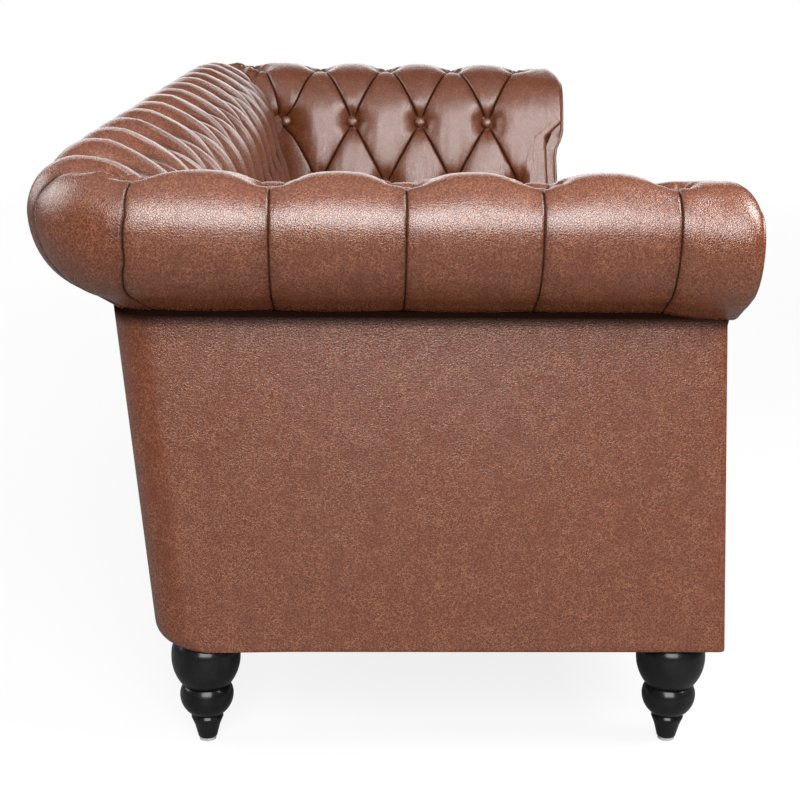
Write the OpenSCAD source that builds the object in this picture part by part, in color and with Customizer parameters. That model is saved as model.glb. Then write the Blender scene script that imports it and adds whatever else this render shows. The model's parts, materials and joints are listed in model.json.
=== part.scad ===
// Rolled arm sofa with three loose seat cushions, buttoned arms and back, and turned feet.
// Units are millimetres. +X runs along the width, +Y to the back and +Z up, and the sofa faces -Y.
// Left and right are those of a person sitting on it, so the left arm is at +X.

/* [Overall size] */
// Width across both arm rolls
overall_w = 2150; // [1800:10:2600]
// Depth from the foot of the arm fronts to the back roll
overall_d = 866; // [800:2:960]
// Height to the top of the rolls
overall_h = 760; // [730:5:840]

/* [Rolls] */
// Overhang of an arm roll past the side panel
arm_overhang = 100; // [80:1:110]
// Overhang of the back roll past the rear panel
back_overhang = 95; // [80:1:105]
// Radius of the roll's outer shoulder
shoulder_r = 62; // [52:1:75]
// Radius of the roll's underside
under_r = 97; // [88:1:110]
// Radius of the roll's inner side
inner_r = 145; // [130:1:160]
// Height of the rolls from their underside to the top
roll_h = 172; // [150:1:190]
// Setback of the rolls' front ends from the foot of the arm fronts
roll_setback = 9; // [4:0.5:20]
// Plan radius of the roll at the rear corners
roll_corner_r = 150; // [125:1:190]

/* [Inner faces] */
// Lean of the inner faces from upright
face_lean = 14.5; // [10:0.5:18]
// Height above the cushion seams up to which the inner faces are upright
knee_rise = 40; // [25:1:55]
// Foam thickness behind the inner faces
face_foam = 45; // [35:1:55]
// Foam thickness over the roll rails
roll_foam = 55; // [45:1:60]

/* [Buttoning] */
// Distance between buttons along an arm
arm_pitch = 155.5; // [140:0.5:165]
// Setback of the first arm button from the front of the roll
arm_first = 105; // [90:1:115]
// Distance between buttons along the back
back_pitch = 141; // [125:1:150]
// Inset of the crest buttons from the outside of the roll
crest_inset = 72; // [64:1:80]
// Drop of the second row of buttons below the top
row2_drop = 120; // [115:1:135]
// Height of the third row of buttons above the upright part
row3_rise = 30; // [15:1:45]
// Depth of a buttoned pit
pit_depth = 27; // [15:1:32]
// Radius over which a pit fades out
pit_r = 28; // [20:1:36]
// Depth of the pleats between buttons
pleat_depth = 12; // [4:1:16]
// Depth of the pleats that run over the roll
over_pleat = 6; // [2:1:10]
// Radius of a button's head
button_r = 10; // [7:0.5:12]
// Height of a button's domed head
button_dome = 6.5; // [4:0.5:9]

/* [Outer panels] */
// Thickness of a covered outer panel
panel_t = 14; // [8:1:20]
// Backward lean of the front posts and arm fronts
front_lean = 3.1; // [1:0.1:5]
// Backward lean of the rear panel and its uprights
rear_lean = 5.3; // [2:0.1:7]
// Plan radius of the rear corners of the body
body_corner_r = 55; // [40:1:65]
// Thickness of an arm facing and of the front border
facing_t = 22; // [16:1:28]
// Inset of the scroll plate from the outside of the roll
scroll_inset = 17; // [12:1:22]
// Thickness of the scroll plate
scroll_t = 6; // [4:1:9]

/* [Frame] */
// Thickness of the base rails
rail_t = 30; // [24:1:34]
// Height of the base rails
rail_h = 120; // [110:1:130]
// Clearance of the rails above the bottom edge of the panels
rail_lift = 6; // [3:1:12]
// Depth of a front post along Y
post_d = 60; // [56:1:72]
// Width of a front post along X
post_w = 84; // [60:1:95]
// Height of the posts above the underside of the rolls
post_rise = 12; // [8:1:24]
// Height of the roll rails above the underside of the rolls
roll_rail_rise = 52; // [40:1:64]
// Width of an upright in the back
upright_w = 50; // [40:1:60]
// Distance of the middle uprights from the centre
upright_x = 290; // [200:5:400]
// Width of the centre rail
centre_rail_w = 38; // [30:1:45]
// Height of the centre rail
centre_rail_h = 90; // [70:1:100]
// Height of a tack rail
tack_h = 40; // [30:1:60]
// Thickness of the inner boards
board_t = 9; // [6:0.5:12]
// Leg length of a corner block
block_leg = 96; // [84:1:104]
// Height of a corner block
block_h = 50; // [40:1:70]

/* [Seat] */
// Height of the padded deck above the base rails
deck_rise = 32; // [24:1:44]
// Thickness of a seat cushion at its seams
cushion_t = 128; // [100:1:140]
// Rise of a cushion's crown above its seams
cushion_crown = 24; // [10:1:32]
// Gap between two seat cushions
cushion_gap = 4; // [2:0.5:8]
// Setback of the cushions from the arm fronts
cushion_setback = 4; // [0:1:20]
// Inward pull of a cushion's sides between its corners
cushion_draw = 6; // [2:1:10]
// Number of springs under each seat
springs_per_seat = 3; // [2:1:3]
// Width of a spring's zigzag
spring_w = 50; // [36:1:60]
// Thickness of the spring wire
spring_wire = 4; // [3:0.5:5]
// Length of one wave of a spring
spring_wave = 44; // [36:1:60]
// Length of a spring clip
clip_l = 10; // [8:1:14]

/* [Feet] */
// Height of the turned feet up to the frame
foot_h = 150; // [126:1:156]
// Radius of the upper bowl of a foot
foot_bowl_r = 45; // [38:0.5:50]
// Radius of the crease under the bowl
foot_neck_r = 30.5; // [26:0.5:34]
// Radius of the ball in the middle
foot_ball_r = 35; // [33:0.5:40]
// Radius of the cup's rim
foot_cup_r = 21; // [17:0.5:24]
// Radius of the foot's tip
foot_tip_r = 12.5; // [11:0.5:15]
// Distance of the foot centres from the side panels
foot_in_x = 52; // [48:1:58]
// Distance of the front feet from the front plane at the bottom
foot_in_front = 60; // [52:1:66]
// Distance of the rear feet from the rear plane at the bottom
foot_in_rear = 62; // [56:1:70]
// Radius of the screw in a foot
bolt_r = 4; // [3:0.5:5]
// Length of the screw
bolt_l = 78; // [60:1:90]
// Outer radius of the threaded insert in a corner block
nut_r = 6.5; // [6:0.5:8]
// Height of a glide under a foot
glide_h = 4; // [3:0.5:6]
// Radius of a glide
glide_r = 11; // [8:0.5:12]
// Width of the plain centre foot
centre_foot_w = 50; // [40:1:60]

/* [Hidden] */
$fn = 48;

leather = [0.48, 0.23, 0.16];
timber = [0.76, 0.61, 0.42];
ply = [0.80, 0.68, 0.50];
steel = [0.62, 0.63, 0.65];
black_gloss = [0.05, 0.05, 0.05];
cloth = [0.12, 0.12, 0.13];

// Clearance between pieces that are laid or fitted against each other
fit = 0.3;
half_w = overall_w / 2;
rear_y = overall_d / 2;
front_y = -overall_d / 2;

lip_z = overall_h - roll_h;
rail_z = foot_h;
base_z = foot_h - rail_lift;
rail_top = rail_z + rail_h;
seat_base_z = rail_top + deck_rise;
knee_z = seat_base_z + cushion_t + knee_rise;
post_top = lip_z + post_rise;

// Front-to-back shift of the leaning frame at a height, zero where the rolls start
function front_at(z) = (z - lip_z) * tan(front_lean);
function rear_at(z) = (z - lip_z) * tan(rear_lean);
front_lip_y = front_y - front_at(base_z);
rear_lip_y = rear_y - back_overhang;
roll_front_y = front_y + roll_setback;
side_x = half_w - arm_overhang;
frame_x = side_x - panel_t;
frame_front_y = front_lip_y + facing_t;
frame_rear_y = rear_lip_y - panel_t;

// The roll's section is a list of insets from the outside of the roll and heights
function on_arc(c, r, a) = [c[0] + r * cos(a), c[1] + r * sin(a)];
shoulder_c = [shoulder_r, overall_h - shoulder_r];
under_c = [under_r, overall_h - shoulder_r];
inner_c = [shoulder_r, overall_h - inner_r];
face_top = on_arc(inner_c, inner_r, face_lean);
function face_inset(z) = face_top[0] + (face_top[1] - max(z, knee_z)) * tan(face_lean);
seat_inset = face_inset(knee_z);
crest_a = acos((crest_inset - shoulder_r) / inner_r);
row2_z = overall_h - row2_drop;
row3_z = knee_z + row3_rise;

// A station of the section holds its point, the direction that it faces and its row number,
// where rows 0, 1 and 2 hold buttons, -1 is the lip and 3 the bottom
function under_at(a, row) = [on_arc(under_c, under_r, a), a, row];
function shoulder_at(a, row) = [on_arc(shoulder_c, shoulder_r, a), a, row];
function inner_at(a, row) = [on_arc(inner_c, inner_r, a), a, row];
function face_at(z, row) = [[face_inset(z), z], z < knee_z ? 0 : face_lean, row];
function row1_a(row) = crest_a + (face_lean - crest_a) * row;
pad_bottom = seat_base_z + 3;
function lower_stations(step) = concat(
  [for (row = [1 : step : 1.99]) face_at(row2_z + (row3_z - row2_z) * (row - 1), row)],
  [face_at(row3_z, 2), face_at(knee_z, 2.25), face_at(pad_bottom, 3)]);
arm_stations = concat(
  [[[arm_overhang, lip_z], 255, -1]],
  [under_at(250, -0.85), under_at(222, -0.65), under_at(200, -0.5), shoulder_at(180, -0.38)],
  [shoulder_at(150, -0.26), shoulder_at(120, -0.14)],
  [for (row = [0 : 0.25 : 0.76]) inner_at(row1_a(row), row)],
  lower_stations(0.25));
back_stations = concat(
  [[[back_overhang, lip_z], 255, -1]],
  [under_at(240, -0.78), under_at(210, -0.58), shoulder_at(180, -0.38), shoulder_at(150, -0.26)],
  [shoulder_at(120, -0.14)],
  [for (row = [0 : 0.5 : 0.51]) inner_at(row1_a(row), row)],
  lower_stations(0.5));

// The hidden side of a pad leaves room for the roll rail, the top rail and the board
lip_t = 12;
cavity_e = arm_overhang + lip_t;
cavity_top = overall_h - roll_foam;
roll_rail_e = 45;
roll_rail_z = lip_z + roll_rail_rise;
board_e = seat_inset - face_foam;
board_top_e = 150;
function board_line(z) = board_e + (board_top_e - board_e) * max(0, z - knee_z) / (cavity_top - knee_z);
// Height at which the front of an arm pad starts to come forward over its facing
wedge_z = lip_z + 18;
inner_chain = [
  [board_e, pad_bottom], [board_e, knee_z], [board_top_e, cavity_top], [roll_rail_e, cavity_top],
  [roll_rail_e, roll_rail_z], [cavity_e, roll_rail_z], [cavity_e, lip_z]];
arm_chain = concat([inner_chain[0], inner_chain[1], [board_line(wedge_z), wedge_z]],
  [for (i = [2 : 6]) inner_chain[i]]);
// Which point of the hidden side, counted from the lip, faces each outer station in an end cap
arm_ladder = [0, 1, 2, 2, 3, 3, 3, 4, 4, 4, 4, 4, 5, 5, 5, 6, 6, 7];
back_ladder = [0, 1, 2, 3, 3, 3, 4, 4, 4, 5, 5, 5, 6];

// Puffs, pleats and pits
function off_whole(x) = abs(x - round(x));
function puff(d) = pow(max(0, 1 - pow(1 - 2 * min(d, 0.5), 2)), 0.55);
function pleat_d(c, row) = row <= 0 || row >= 2 ? off_whole(c)
  : min(off_whole(c - row / 2), off_whole(c + row / 2));
function pleat_h(row) = row <= 0 ? over_pleat * (1 + row * 0.6)
  : row < 2 ? over_pleat + (pleat_depth - over_pleat) * min(1, 4 * row)
  : pleat_depth * max(0, 3 - row);
function row_s(row) = row <= 1 ? row * inner_r * (crest_a - face_lean) * PI / 180
  : row_s(1) + (row - 1) * (row2_z - row3_z);
function pit_h(c, row, pits, pitch) = max([for (p = pits)
  exp(-(pow((c - p[0]) * pitch, 2) + pow(row_s(row) - row_s(p[1]), 2)) / pow(pit_r, 2))]);
// Depth of the crease where an arm and the back meet
crease_depth = 40;
function crease_h(f, row) = crease_depth * max(0, min(1, row)) * pow(max(0, (f - 0.55) / 0.45), 2);
// The foam is thinnest over the top edge of the board, between rows 0 and 1
function deepest(row) = lookup(row, [[0, 36], [0.25, 30], [0.5, 15], [0.75, 15], [1, 36]]);
function sunk(c, row, f, pits, pitch) = max(-deepest(row), -pleat_h(row) * (1 - puff(pleat_d(c, row)))
  - pit_depth * pit_h(c, row, pits, pitch) - crease_h(f, row));

// Columns are cuts across a pad. A corner zone runs from the last straight column to the mitre,
// and zone_l is the length of that stretch at an inset, following the rounded corner
corner_cols = 8;
arm_zone_y = front_y + arm_first + 3 * arm_pitch;
back_zone_x = 5 * back_pitch;
function arc_l(e) = max(0, roll_corner_r - e) * PI / 4;
function zone_l(end, start, e) = min(end - roll_corner_r, end - e) - start + arc_l(e) - fit;
arm_zone_s = zone_l(rear_y, arm_zone_y, crest_inset);
back_zone_s = zone_l(half_w, back_zone_x, crest_inset);
// A point s along the zone of a side whose roll ends at "end": its place along the side and inset
function zone_pt(end, start, e, s) = let (flat = min(end - roll_corner_r, end - e) - start)
  s <= flat || e >= roll_corner_r ? [start + s, e]
  : let (r = roll_corner_r - e, a = (s - flat) / r * 180 / PI)
    [end - roll_corner_r + r * sin(a), roll_corner_r - r * cos(a)];

arm_front_pad_y = roll_front_y + scroll_t + fit;
function arm_front(e, z) = let (k = e <= cavity_e ? 1 : max(0, min(1, (z - wedge_z) / (row2_z - wedge_z))))
  (frame_front_y + front_at(z) + fit) * (1 - k) + arm_front_pad_y * k;
front_share = [0, 0.06, 0.18, 0.38, 0.58, 0.8];
front_sink = [16, 6, 1.5, 0, 0, 0];
arm_front_cols = len(front_share);
arm_straight_cols = 24;
arm_cols = arm_front_cols + arm_straight_cols + corner_cols;
arm_first_y = front_y + arm_first;

arm_pits = concat([for (i = [0 : 3]) [i, 0]], [[3 + 0.75 * arm_zone_s / arm_pitch, 0]],
  [[3 + arm_zone_s / arm_pitch, 0]], [for (i = [0 : 2]) [i + 0.5, 1]], [[3.5, 1]],
  [for (i = [0 : 3]) [i, 2]]);
back_half_pits = concat([for (i = [1 : 6]) [i, 0]], [[5 + back_zone_s / back_pitch, 0]],
  [for (i = [0 : 5]) [i + 0.5, 1]], [for (i = [1 : 5]) [i, 2]]);
back_pits = concat([[0, 0], [0, 2]], back_half_pits, [for (p = back_half_pits) [-p[0], p[1]]]);

// A pad's surface: the station's point is sunk along its normal and then placed along the side
function sink(st, h) = [st[0][0] + h * cos(st[1]), st[0][1] + h * sin(st[1])];
function arm_pt(j, st, hidden) =
  j < arm_front_cols ?
    let (y0 = arm_front(st[0][0], st[0][1]), y = y0 + (arm_first_y - y0) * front_share[j],
         c = (y - arm_first_y) / arm_pitch,
         p = hidden ? st[0] : sink(st, sunk(c, st[2], 0, arm_pits, arm_pitch) - front_sink[j]))
      [p[0], y, p[1]]
  : j <= arm_front_cols + arm_straight_cols ?
    let (c = (j - arm_front_cols) / 8,
         p = hidden ? st[0] : sink(st, sunk(c, st[2], 0, arm_pits, arm_pitch)))
      [p[0], arm_first_y + c * arm_pitch, p[1]]
  : let (f = (j - arm_front_cols - arm_straight_cols) / corner_cols,
         c = 3 + f * (st[2] <= 0 ? arm_zone_s : zone_l(rear_y, arm_zone_y, st[0][0] - 20)) / arm_pitch,
         p = hidden ? st[0] : sink(st, sunk(c, st[2], f, arm_pits, arm_pitch)),
         q = zone_pt(rear_y, arm_zone_y, p[0], f * zone_l(rear_y, arm_zone_y, p[0])))
      [q[1], q[0], p[1]];
back_side_cols = 20;
back_cols = 2 * (back_side_cols + corner_cols);
function back_half_pt(k, st, hidden) =
  k <= back_side_cols ?
    let (c = k / 4, p = hidden ? st[0] : sink(st, sunk(c, st[2], 0, back_pits, back_pitch)))
      [p[0], c * back_pitch, p[1]]
  : let (f = (k - back_side_cols) / corner_cols,
         c = 5 + f * (st[2] <= 0 ? back_zone_s : zone_l(half_w, back_zone_x, st[0][0] - 20)) / back_pitch,
         p = hidden ? st[0] : sink(st, sunk(c, st[2], f, back_pits, back_pitch)),
         q = zone_pt(half_w, back_zone_x, p[0], f * zone_l(half_w, back_zone_x, p[0])))
      [q[1], q[0], p[1]];
function back_pt(j, st, hidden) = let (k = j - back_cols / 2, p = back_half_pt(abs(k), st, hidden))
  [p[0], sign(k) * p[1], p[2]];

// A closed skin over a grid of columns, with a ladder of triangles over each end
function quad(a, b, c, d, flip) = flip ? [[a, b, d], [b, c, d]] : [[a, b, c], [a, c, d]];
function skin_faces(cols, n, c_of, rows) = [for (j = [0 : cols - 1]) for (i = [0 : n - 1])
  let (a = j * n + i, b = j * n + (i + 1) % n, mid = c_of[j] - floor(c_of[j]),
       zone = i < len(rows) - 1 ? floor((rows[i] + rows[i + 1]) / 2) : 0)
  for (t = quad(a, b, b + n, a + n, (mid < 0.5) == (zone % 2 == 0))) t];
function ladder_faces(base, n, no, m, turn) = [for (i = [0 : no - 2])
  let (o0 = base + i, o1 = o0 + 1, q0 = base + n - 1 - m[i], q1 = base + n - 1 - m[i + 1])
  for (t = m[i + 1] > m[i] ? [[o0, o1, q1], [o0, q1, q0]] : [[o0, o1, q0]])
    turn ? [t[0], t[2], t[1]] : t];

arm_col_c = [for (j = [0 : arm_cols]) j < arm_front_cols ? -0.3 : (j - arm_front_cols) / 8 + 0.06];
back_col_c = [for (j = [0 : back_cols]) (j - back_cols / 2) / 4 + 0.12];

module arm_pad_form() {
  no = len(arm_stations);
  n = no + len(arm_chain);
  all_st = concat(arm_stations, [for (p = arm_chain) [p, 0, 0]]);
  pts = [for (j = [0 : arm_cols]) for (i = [0 : n - 1]) let (p = arm_pt(j, all_st[i], i >= no))
    [half_w - p[0], p[1], p[2]]];
  rows = [for (st = arm_stations) st[2]];
  faces = concat(skin_faces(arm_cols, n, arm_col_c, rows),
    ladder_faces(0, n, no, arm_ladder, true), ladder_faces(arm_cols * n, n, no, arm_ladder, false));
  polyhedron(pts, faces);
}

module back_pad_form() {
  no = len(back_stations);
  chain = [for (p = inner_chain) [p[0] == cavity_e ? back_overhang + lip_t : p[0], p[1]]];
  n = no + len(chain);
  all_st = concat(back_stations, [for (p = chain) [p, 0, 0]]);
  pts = [for (j = [0 : back_cols]) for (i = [0 : n - 1]) let (p = back_pt(j, all_st[i], i >= no))
    [p[1], rear_y - p[0], p[2]]];
  rows = [for (st = back_stations) st[2]];
  faces = concat(skin_faces(back_cols, n, back_col_c, rows),
    ladder_faces(0, n, no, back_ladder, true), ladder_faces(back_cols * n, n, no, back_ladder, false));
  polyhedron(pts, [for (t = faces) [t[0], t[2], t[1]]]);
}

// Shapes used by several pieces
module on_side(side) {
  if (side < 0) mirror([1, 0, 0]) children();
  else children();
}
module box(x0, x1, y0, y1, z0, z1) {
  translate([x0, y0, z0]) cube([x1 - x0, y1 - y0, z1 - z0]);
}
module along_x(x0, x1) {
  translate([x0, 0, 0]) rotate([90, 0, 90]) linear_extrude(x1 - x0) children();
}
module along_y(y0, y1) {
  translate([0, y1, 0]) rotate([90, 0, 0]) linear_extrude(y1 - y0) children();
}
// A bar that leans with the frame, with y0 and y1 given at the height of the lip. It leans as the arm
// fronts do, or as the rear does, or with its front end as the one and its rear end as the other.
module lean_bar(x0, x1, y0, y1, z0, z1, rear0 = false, rear1 = false) {
  a = rear0 ? [rear_at(z0), rear_at(z1)] : [front_at(z0), front_at(z1)];
  b = rear0 || rear1 ? [rear_at(z0), rear_at(z1)] : [front_at(z0), front_at(z1)];
  along_x(x0, x1) polygon([[y0 + a[0], z0], [y1 + b[0], z0], [y1 + b[1], z1], [y0 + a[1], z1]]);
}

// Base frame
front_post_x = frame_x - post_w;
module front_rail() color(timber)
  lean_bar(-front_post_x + fit, front_post_x - fit, frame_front_y + fit, frame_front_y + rail_t, rail_z,
    rail_top);
back_rail_x = side_x - body_corner_r;
module back_rail() color(timber)
  lean_bar(-back_rail_x, back_rail_x, frame_rear_y - rail_t, frame_rear_y - fit, rail_z, rail_top, true);
side_rail_end_y = rear_lip_y - body_corner_r;
module side_rail(side) color(timber) on_side(side)
  lean_bar(frame_x - rail_t, frame_x - fit, frame_front_y + post_d + fit, side_rail_end_y, rail_z, rail_top,
    rear1 = true);
module centre_rail() color(timber)
  lean_bar(-centre_rail_w / 2, centre_rail_w / 2, frame_front_y + rail_t + fit, frame_rear_y - rail_t - fit,
    rail_z, rail_z + centre_rail_h, rear1 = true);

foot_x = side_x - foot_in_x;
front_foot_y = front_y + foot_in_front;
rear_foot_y = rear_lip_y + rear_at(base_z) - foot_in_rear;
insert_bore_r = nut_r + 0.05;
block_x = frame_x - rail_t - fit;
block_rear_y = frame_rear_y - rail_t + rear_at(rail_z) - fit;
module corner_block(side) on_side(side) difference() {
  box(block_x - block_leg, block_x, rear_foot_y - block_leg / 2, block_rear_y, rail_z, rail_z + block_h);
  translate([foot_x, rear_foot_y, rail_z - 1]) cylinder(r = insert_bore_r, h = block_h + 2);
}

// Posts, uprights and top rails
module front_post(side) color(timber) on_side(side) difference() {
  intersection() {
    lean_bar(front_post_x, frame_x - fit, frame_front_y + fit, frame_front_y + post_d, rail_z, post_top);
    along_y(front_y, 0) translate([half_w, 0]) mirror([1, 0]) polygon([[0, 0], [board_e - fit, 0],
      [board_e - fit, knee_z], [board_line(post_top + 9) - fit, post_top + 9], [0, post_top + 9]]);
  }
  translate([foot_x, front_foot_y, rail_z - 1]) cylinder(r = insert_bore_r, h = block_h + 1);
}
module arm_rear_post(side) color(timber) on_side(side)
  lean_bar(frame_x - rail_t, frame_x - fit, side_rail_end_y - post_d, side_rail_end_y, rail_top,
    post_top, true);
module back_uprights() color(timber)
  for (x = [-back_rail_x + upright_w / 2, -upright_x, upright_x, back_rail_x - upright_w / 2])
    lean_bar(x - upright_w / 2, x + upright_w / 2, frame_rear_y - rail_t, frame_rear_y - fit,
      rail_top, post_top, true);

board_lean = atan((board_e - board_top_e) / (cavity_top - knee_z));
board_end_z = cavity_top - 7;
board_end_e = board_top_e + (cavity_top - board_end_z) * tan(board_lean);
top_rail_e = board_end_e - fit - board_t * cos(board_lean) - fit;
rails_top = cavity_top - fit;
arm_rail_end_y = side_rail_end_y - 15;
module arm_top_rail(side) color(timber) on_side(side)
  box(half_w - top_rail_e, half_w - cavity_e - fit, frame_front_y + fit, arm_rail_end_y,
    post_top, rails_top);
module back_top_rail() color(timber)
  box(-back_rail_x, back_rail_x, rear_y - top_rail_e, rear_y - cavity_e - fit, post_top, rails_top);
roll_chamfer = 14;
module roll_rail_outline() {
  e0 = roll_rail_e + fit;
  e1 = cavity_e;
  z0 = roll_rail_z + fit;
  polygon([[e0 + roll_chamfer, z0], [e1, z0], [e1, rails_top], [e0 + roll_chamfer, rails_top],
    [e0, rails_top - roll_chamfer], [e0, z0 + roll_chamfer]]);
}
module roll_rail(side) color(timber) on_side(side)
  along_y(frame_front_y + fit, arm_rail_end_y)
    translate([half_w, 0]) mirror([1, 0]) roll_rail_outline();
module back_roll_rail() color(timber)
  along_x(-back_rail_x, back_rail_x) translate([rear_y, 0]) mirror([1, 0]) roll_rail_outline();

// Tack rails and boards behind the padding of the inner faces
tack_z = pad_bottom + 1;
board_face_e = board_e - fit;
board_back_e = board_face_e - board_t;
board_end_gap = 6;
arm_board_end_y = rear_y - board_e - board_end_gap;
arm_tack_end_y = rear_y - board_back_e + rail_t;
module arm_tack_rail(side) color(timber) on_side(side)
  along_x(half_w - board_back_e + fit, half_w - board_back_e + fit + rail_t)
    polygon([[frame_front_y + post_d + front_at(tack_z), tack_z], [arm_tack_end_y, tack_z],
      [arm_tack_end_y, tack_z + tack_h],
      [frame_front_y + post_d + front_at(tack_z + tack_h), tack_z + tack_h]]);
back_board_x = half_w - board_e - board_end_gap;
back_tack_x = half_w - board_back_e;
module back_tack_rail() color(timber) along_x(-back_tack_x, back_tack_x) polygon([
  [rear_y - board_back_e + fit, tack_z], [frame_rear_y - rail_t - fit + rear_at(tack_z), tack_z],
  [frame_rear_y - rail_t - fit + rear_at(tack_z + tack_h), tack_z + tack_h],
  [rear_y - board_back_e + fit, tack_z + tack_h]]);
module board_outline() {
  tip = [board_end_e - fit, board_end_z];
  polygon([[board_face_e, tack_z], [board_face_e, knee_z], tip,
    [tip[0] - board_t * cos(board_lean), tip[1] - board_t * sin(board_lean)],
    [board_back_e, knee_z - board_t * tan(board_lean / 2)], [board_back_e, tack_z]]);
}
arm_board_y = frame_front_y + front_at(post_top) + post_d;
module arm_board(side) color(ply) on_side(side)
  along_y(arm_board_y, arm_board_end_y) translate([half_w, 0]) mirror([1, 0]) board_outline();
module back_board() color(ply)
  along_x(-back_board_x, back_board_x) translate([rear_y, 0]) mirror([1, 0]) board_outline();

// Springs, clips and deck
cushion_span = 2 * (half_w - seat_inset) - 2 * cushion_gap;
cushion_w = (cushion_span - 2 * cushion_gap) / 3;
spring_z = rail_top - 8;
spring_front_y = frame_front_y + rail_t + front_at(spring_z) + clip_l;
spring_rear_y = frame_rear_y - rail_t + rear_at(spring_z) - clip_l;
spring_waves = floor((spring_rear_y - spring_front_y) / spring_wave);
spring_xs = [for (seat = [-1 : 1]) for (i = [0 : springs_per_seat - 1])
  seat * (cushion_w + cushion_gap) + (i + 0.5) * cushion_w / springs_per_seat - cushion_w / 2];
function wave_x(a) = (spring_w - spring_wire) / 2 * sin(a) * (1.25 - 0.25 * pow(sin(a), 2));
wave_steps = 6;
function wave_a(i) = i * 360 / wave_steps;
function wave_pt(i) = let (n = spring_waves * wave_steps)
  [wave_x(wave_a(i)), spring_front_y + (spring_rear_y - spring_front_y) * i / n];
function wave_n(i) = let (a = wave_pt(i - 0.05), b = wave_pt(i + 0.05), d = b - a) [-d[1], d[0]] / norm(d);
module spring_outline() {
  n = spring_waves * wave_steps;
  polygon(concat([for (i = [0 : n]) wave_pt(i) + wave_n(i) * spring_wire / 2],
    [for (i = [n : -1 : 0]) wave_pt(i) - wave_n(i) * spring_wire / 2]));
}
module seat_springs() color(steel) for (x = spring_xs)
  translate([x, 0, spring_z - spring_wire]) linear_extrude(spring_wire) spring_outline();
clip_w = 22;
clip_gap = spring_wire / 2 + fit;
module spring_clips() color(steel) for (x = spring_xs) {
  along_x(x - clip_w / 2, x + clip_w / 2) {
    polygon([[spring_front_y - clip_l - front_at(spring_z) + front_at(spring_z - 10), spring_z - 10],
      [spring_front_y - clip_gap, spring_z - 10], [spring_front_y - clip_gap, spring_z + 2],
      [spring_front_y - clip_l - front_at(spring_z) + front_at(spring_z + 2), spring_z + 2]]);
  }
  along_x(x - clip_w / 2, x + clip_w / 2) {
    polygon([[spring_rear_y + clip_gap, spring_z - 10],
      [spring_rear_y + clip_l - rear_at(spring_z) + rear_at(spring_z - 10), spring_z - 10],
      [spring_rear_y + clip_l - rear_at(spring_z) + rear_at(spring_z + 2), spring_z + 2],
      [spring_rear_y + clip_gap, spring_z + 2]]);
  }
}
border_lip_l = 52;
border_lip_y = frame_front_y + front_at(rail_top) + border_lip_l;
deck_x = half_w - seat_inset - 2;
deck_rear_y = rear_y - board_e + 3;
module seat_deck() color(cloth)
  box(-deck_x, deck_x, border_lip_y + fit, deck_rear_y, spring_z + 0.2, seat_base_z);
cover_t = 1.5;
cover_inset = 4;
module dust_cover() color(cloth) difference() {
  translate([0, rear_at(rail_z), rail_z - cover_t]) linear_extrude(cover_t)
    body_plan(panel_t + cover_inset, frame_front_y + front_at(rail_z) - rear_at(rail_z) + cover_inset);
  box(-centre_foot_w / 2 - 1, centre_foot_w / 2 + 1, -centre_foot_w / 2 - 1, centre_foot_w / 2 + 1,
    rail_z - cover_t - 1, rail_z + 1);
  for (p = foot_places) place_foot(p[0], p[1])
    translate([0, 0, rail_z - cover_t - 1]) cylinder(r = foot_collar_r + 1, h = cover_t + 2);
}

// Outer panels. The seam between the side and rear panels lies just before the rounded corner
seam_x = back_rail_x - 4;
module body_plan(inset, front) {
  x = side_x - inset;
  y = (rear_lip_y - inset) * cos(rear_lean);
  r = body_corner_r - inset;
  translate([-x, front]) square([2 * x, y - r - front]);
  translate([-x + r, y - r - 1]) square([2 * (x - r), r + 1]);
  for (s = [-1, 1]) translate([s * (x - r), y - r]) circle(r = r);
}
corner_y = rear_lip_y - body_corner_r;
module side_outer_panel(side) color(leather) on_side(side) {
  lean_bar(frame_x, side_x, front_lip_y, corner_y - 10, base_z, lip_z - fit, rear1 = true);
  intersection() {
    translate([0, 0, lip_z]) rotate([-rear_lean, 0, 0]) translate([0, 0, -lip_z]) linear_extrude(lip_z + 60)
      difference() {
        body_plan(0, corner_y - 11);
        body_plan(panel_t, front_y);
      }
    box(seam_x + fit, half_w, corner_y - 60, overall_d, base_z, lip_z - fit);
  }
}
module back_outer_panel() color(leather)
  lean_bar(-seam_x, seam_x, rear_lip_y - panel_t, rear_lip_y, base_z, lip_z - fit, true);

// Arm facings and front border
facing_in_x = half_w - seat_inset;
function scroll_pts(inset) = concat(
  [for (a = [250 : -14 : 180]) on_arc(under_c, under_r - inset, a)],
  [for (a = [166 : -14 : 96]) on_arc(shoulder_c, shoulder_r - inset, a)],
  [for (a = [90 : -12 : 15]) on_arc(inner_c, inner_r - inset, a)],
  [[face_inset(lip_z) - inset, lip_z], [arm_overhang + inset, lip_z]]);
plug_y = roll_front_y + scroll_t - 0.5;
wedge_drop = 8;
core_top = cavity_top - 6;
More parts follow.
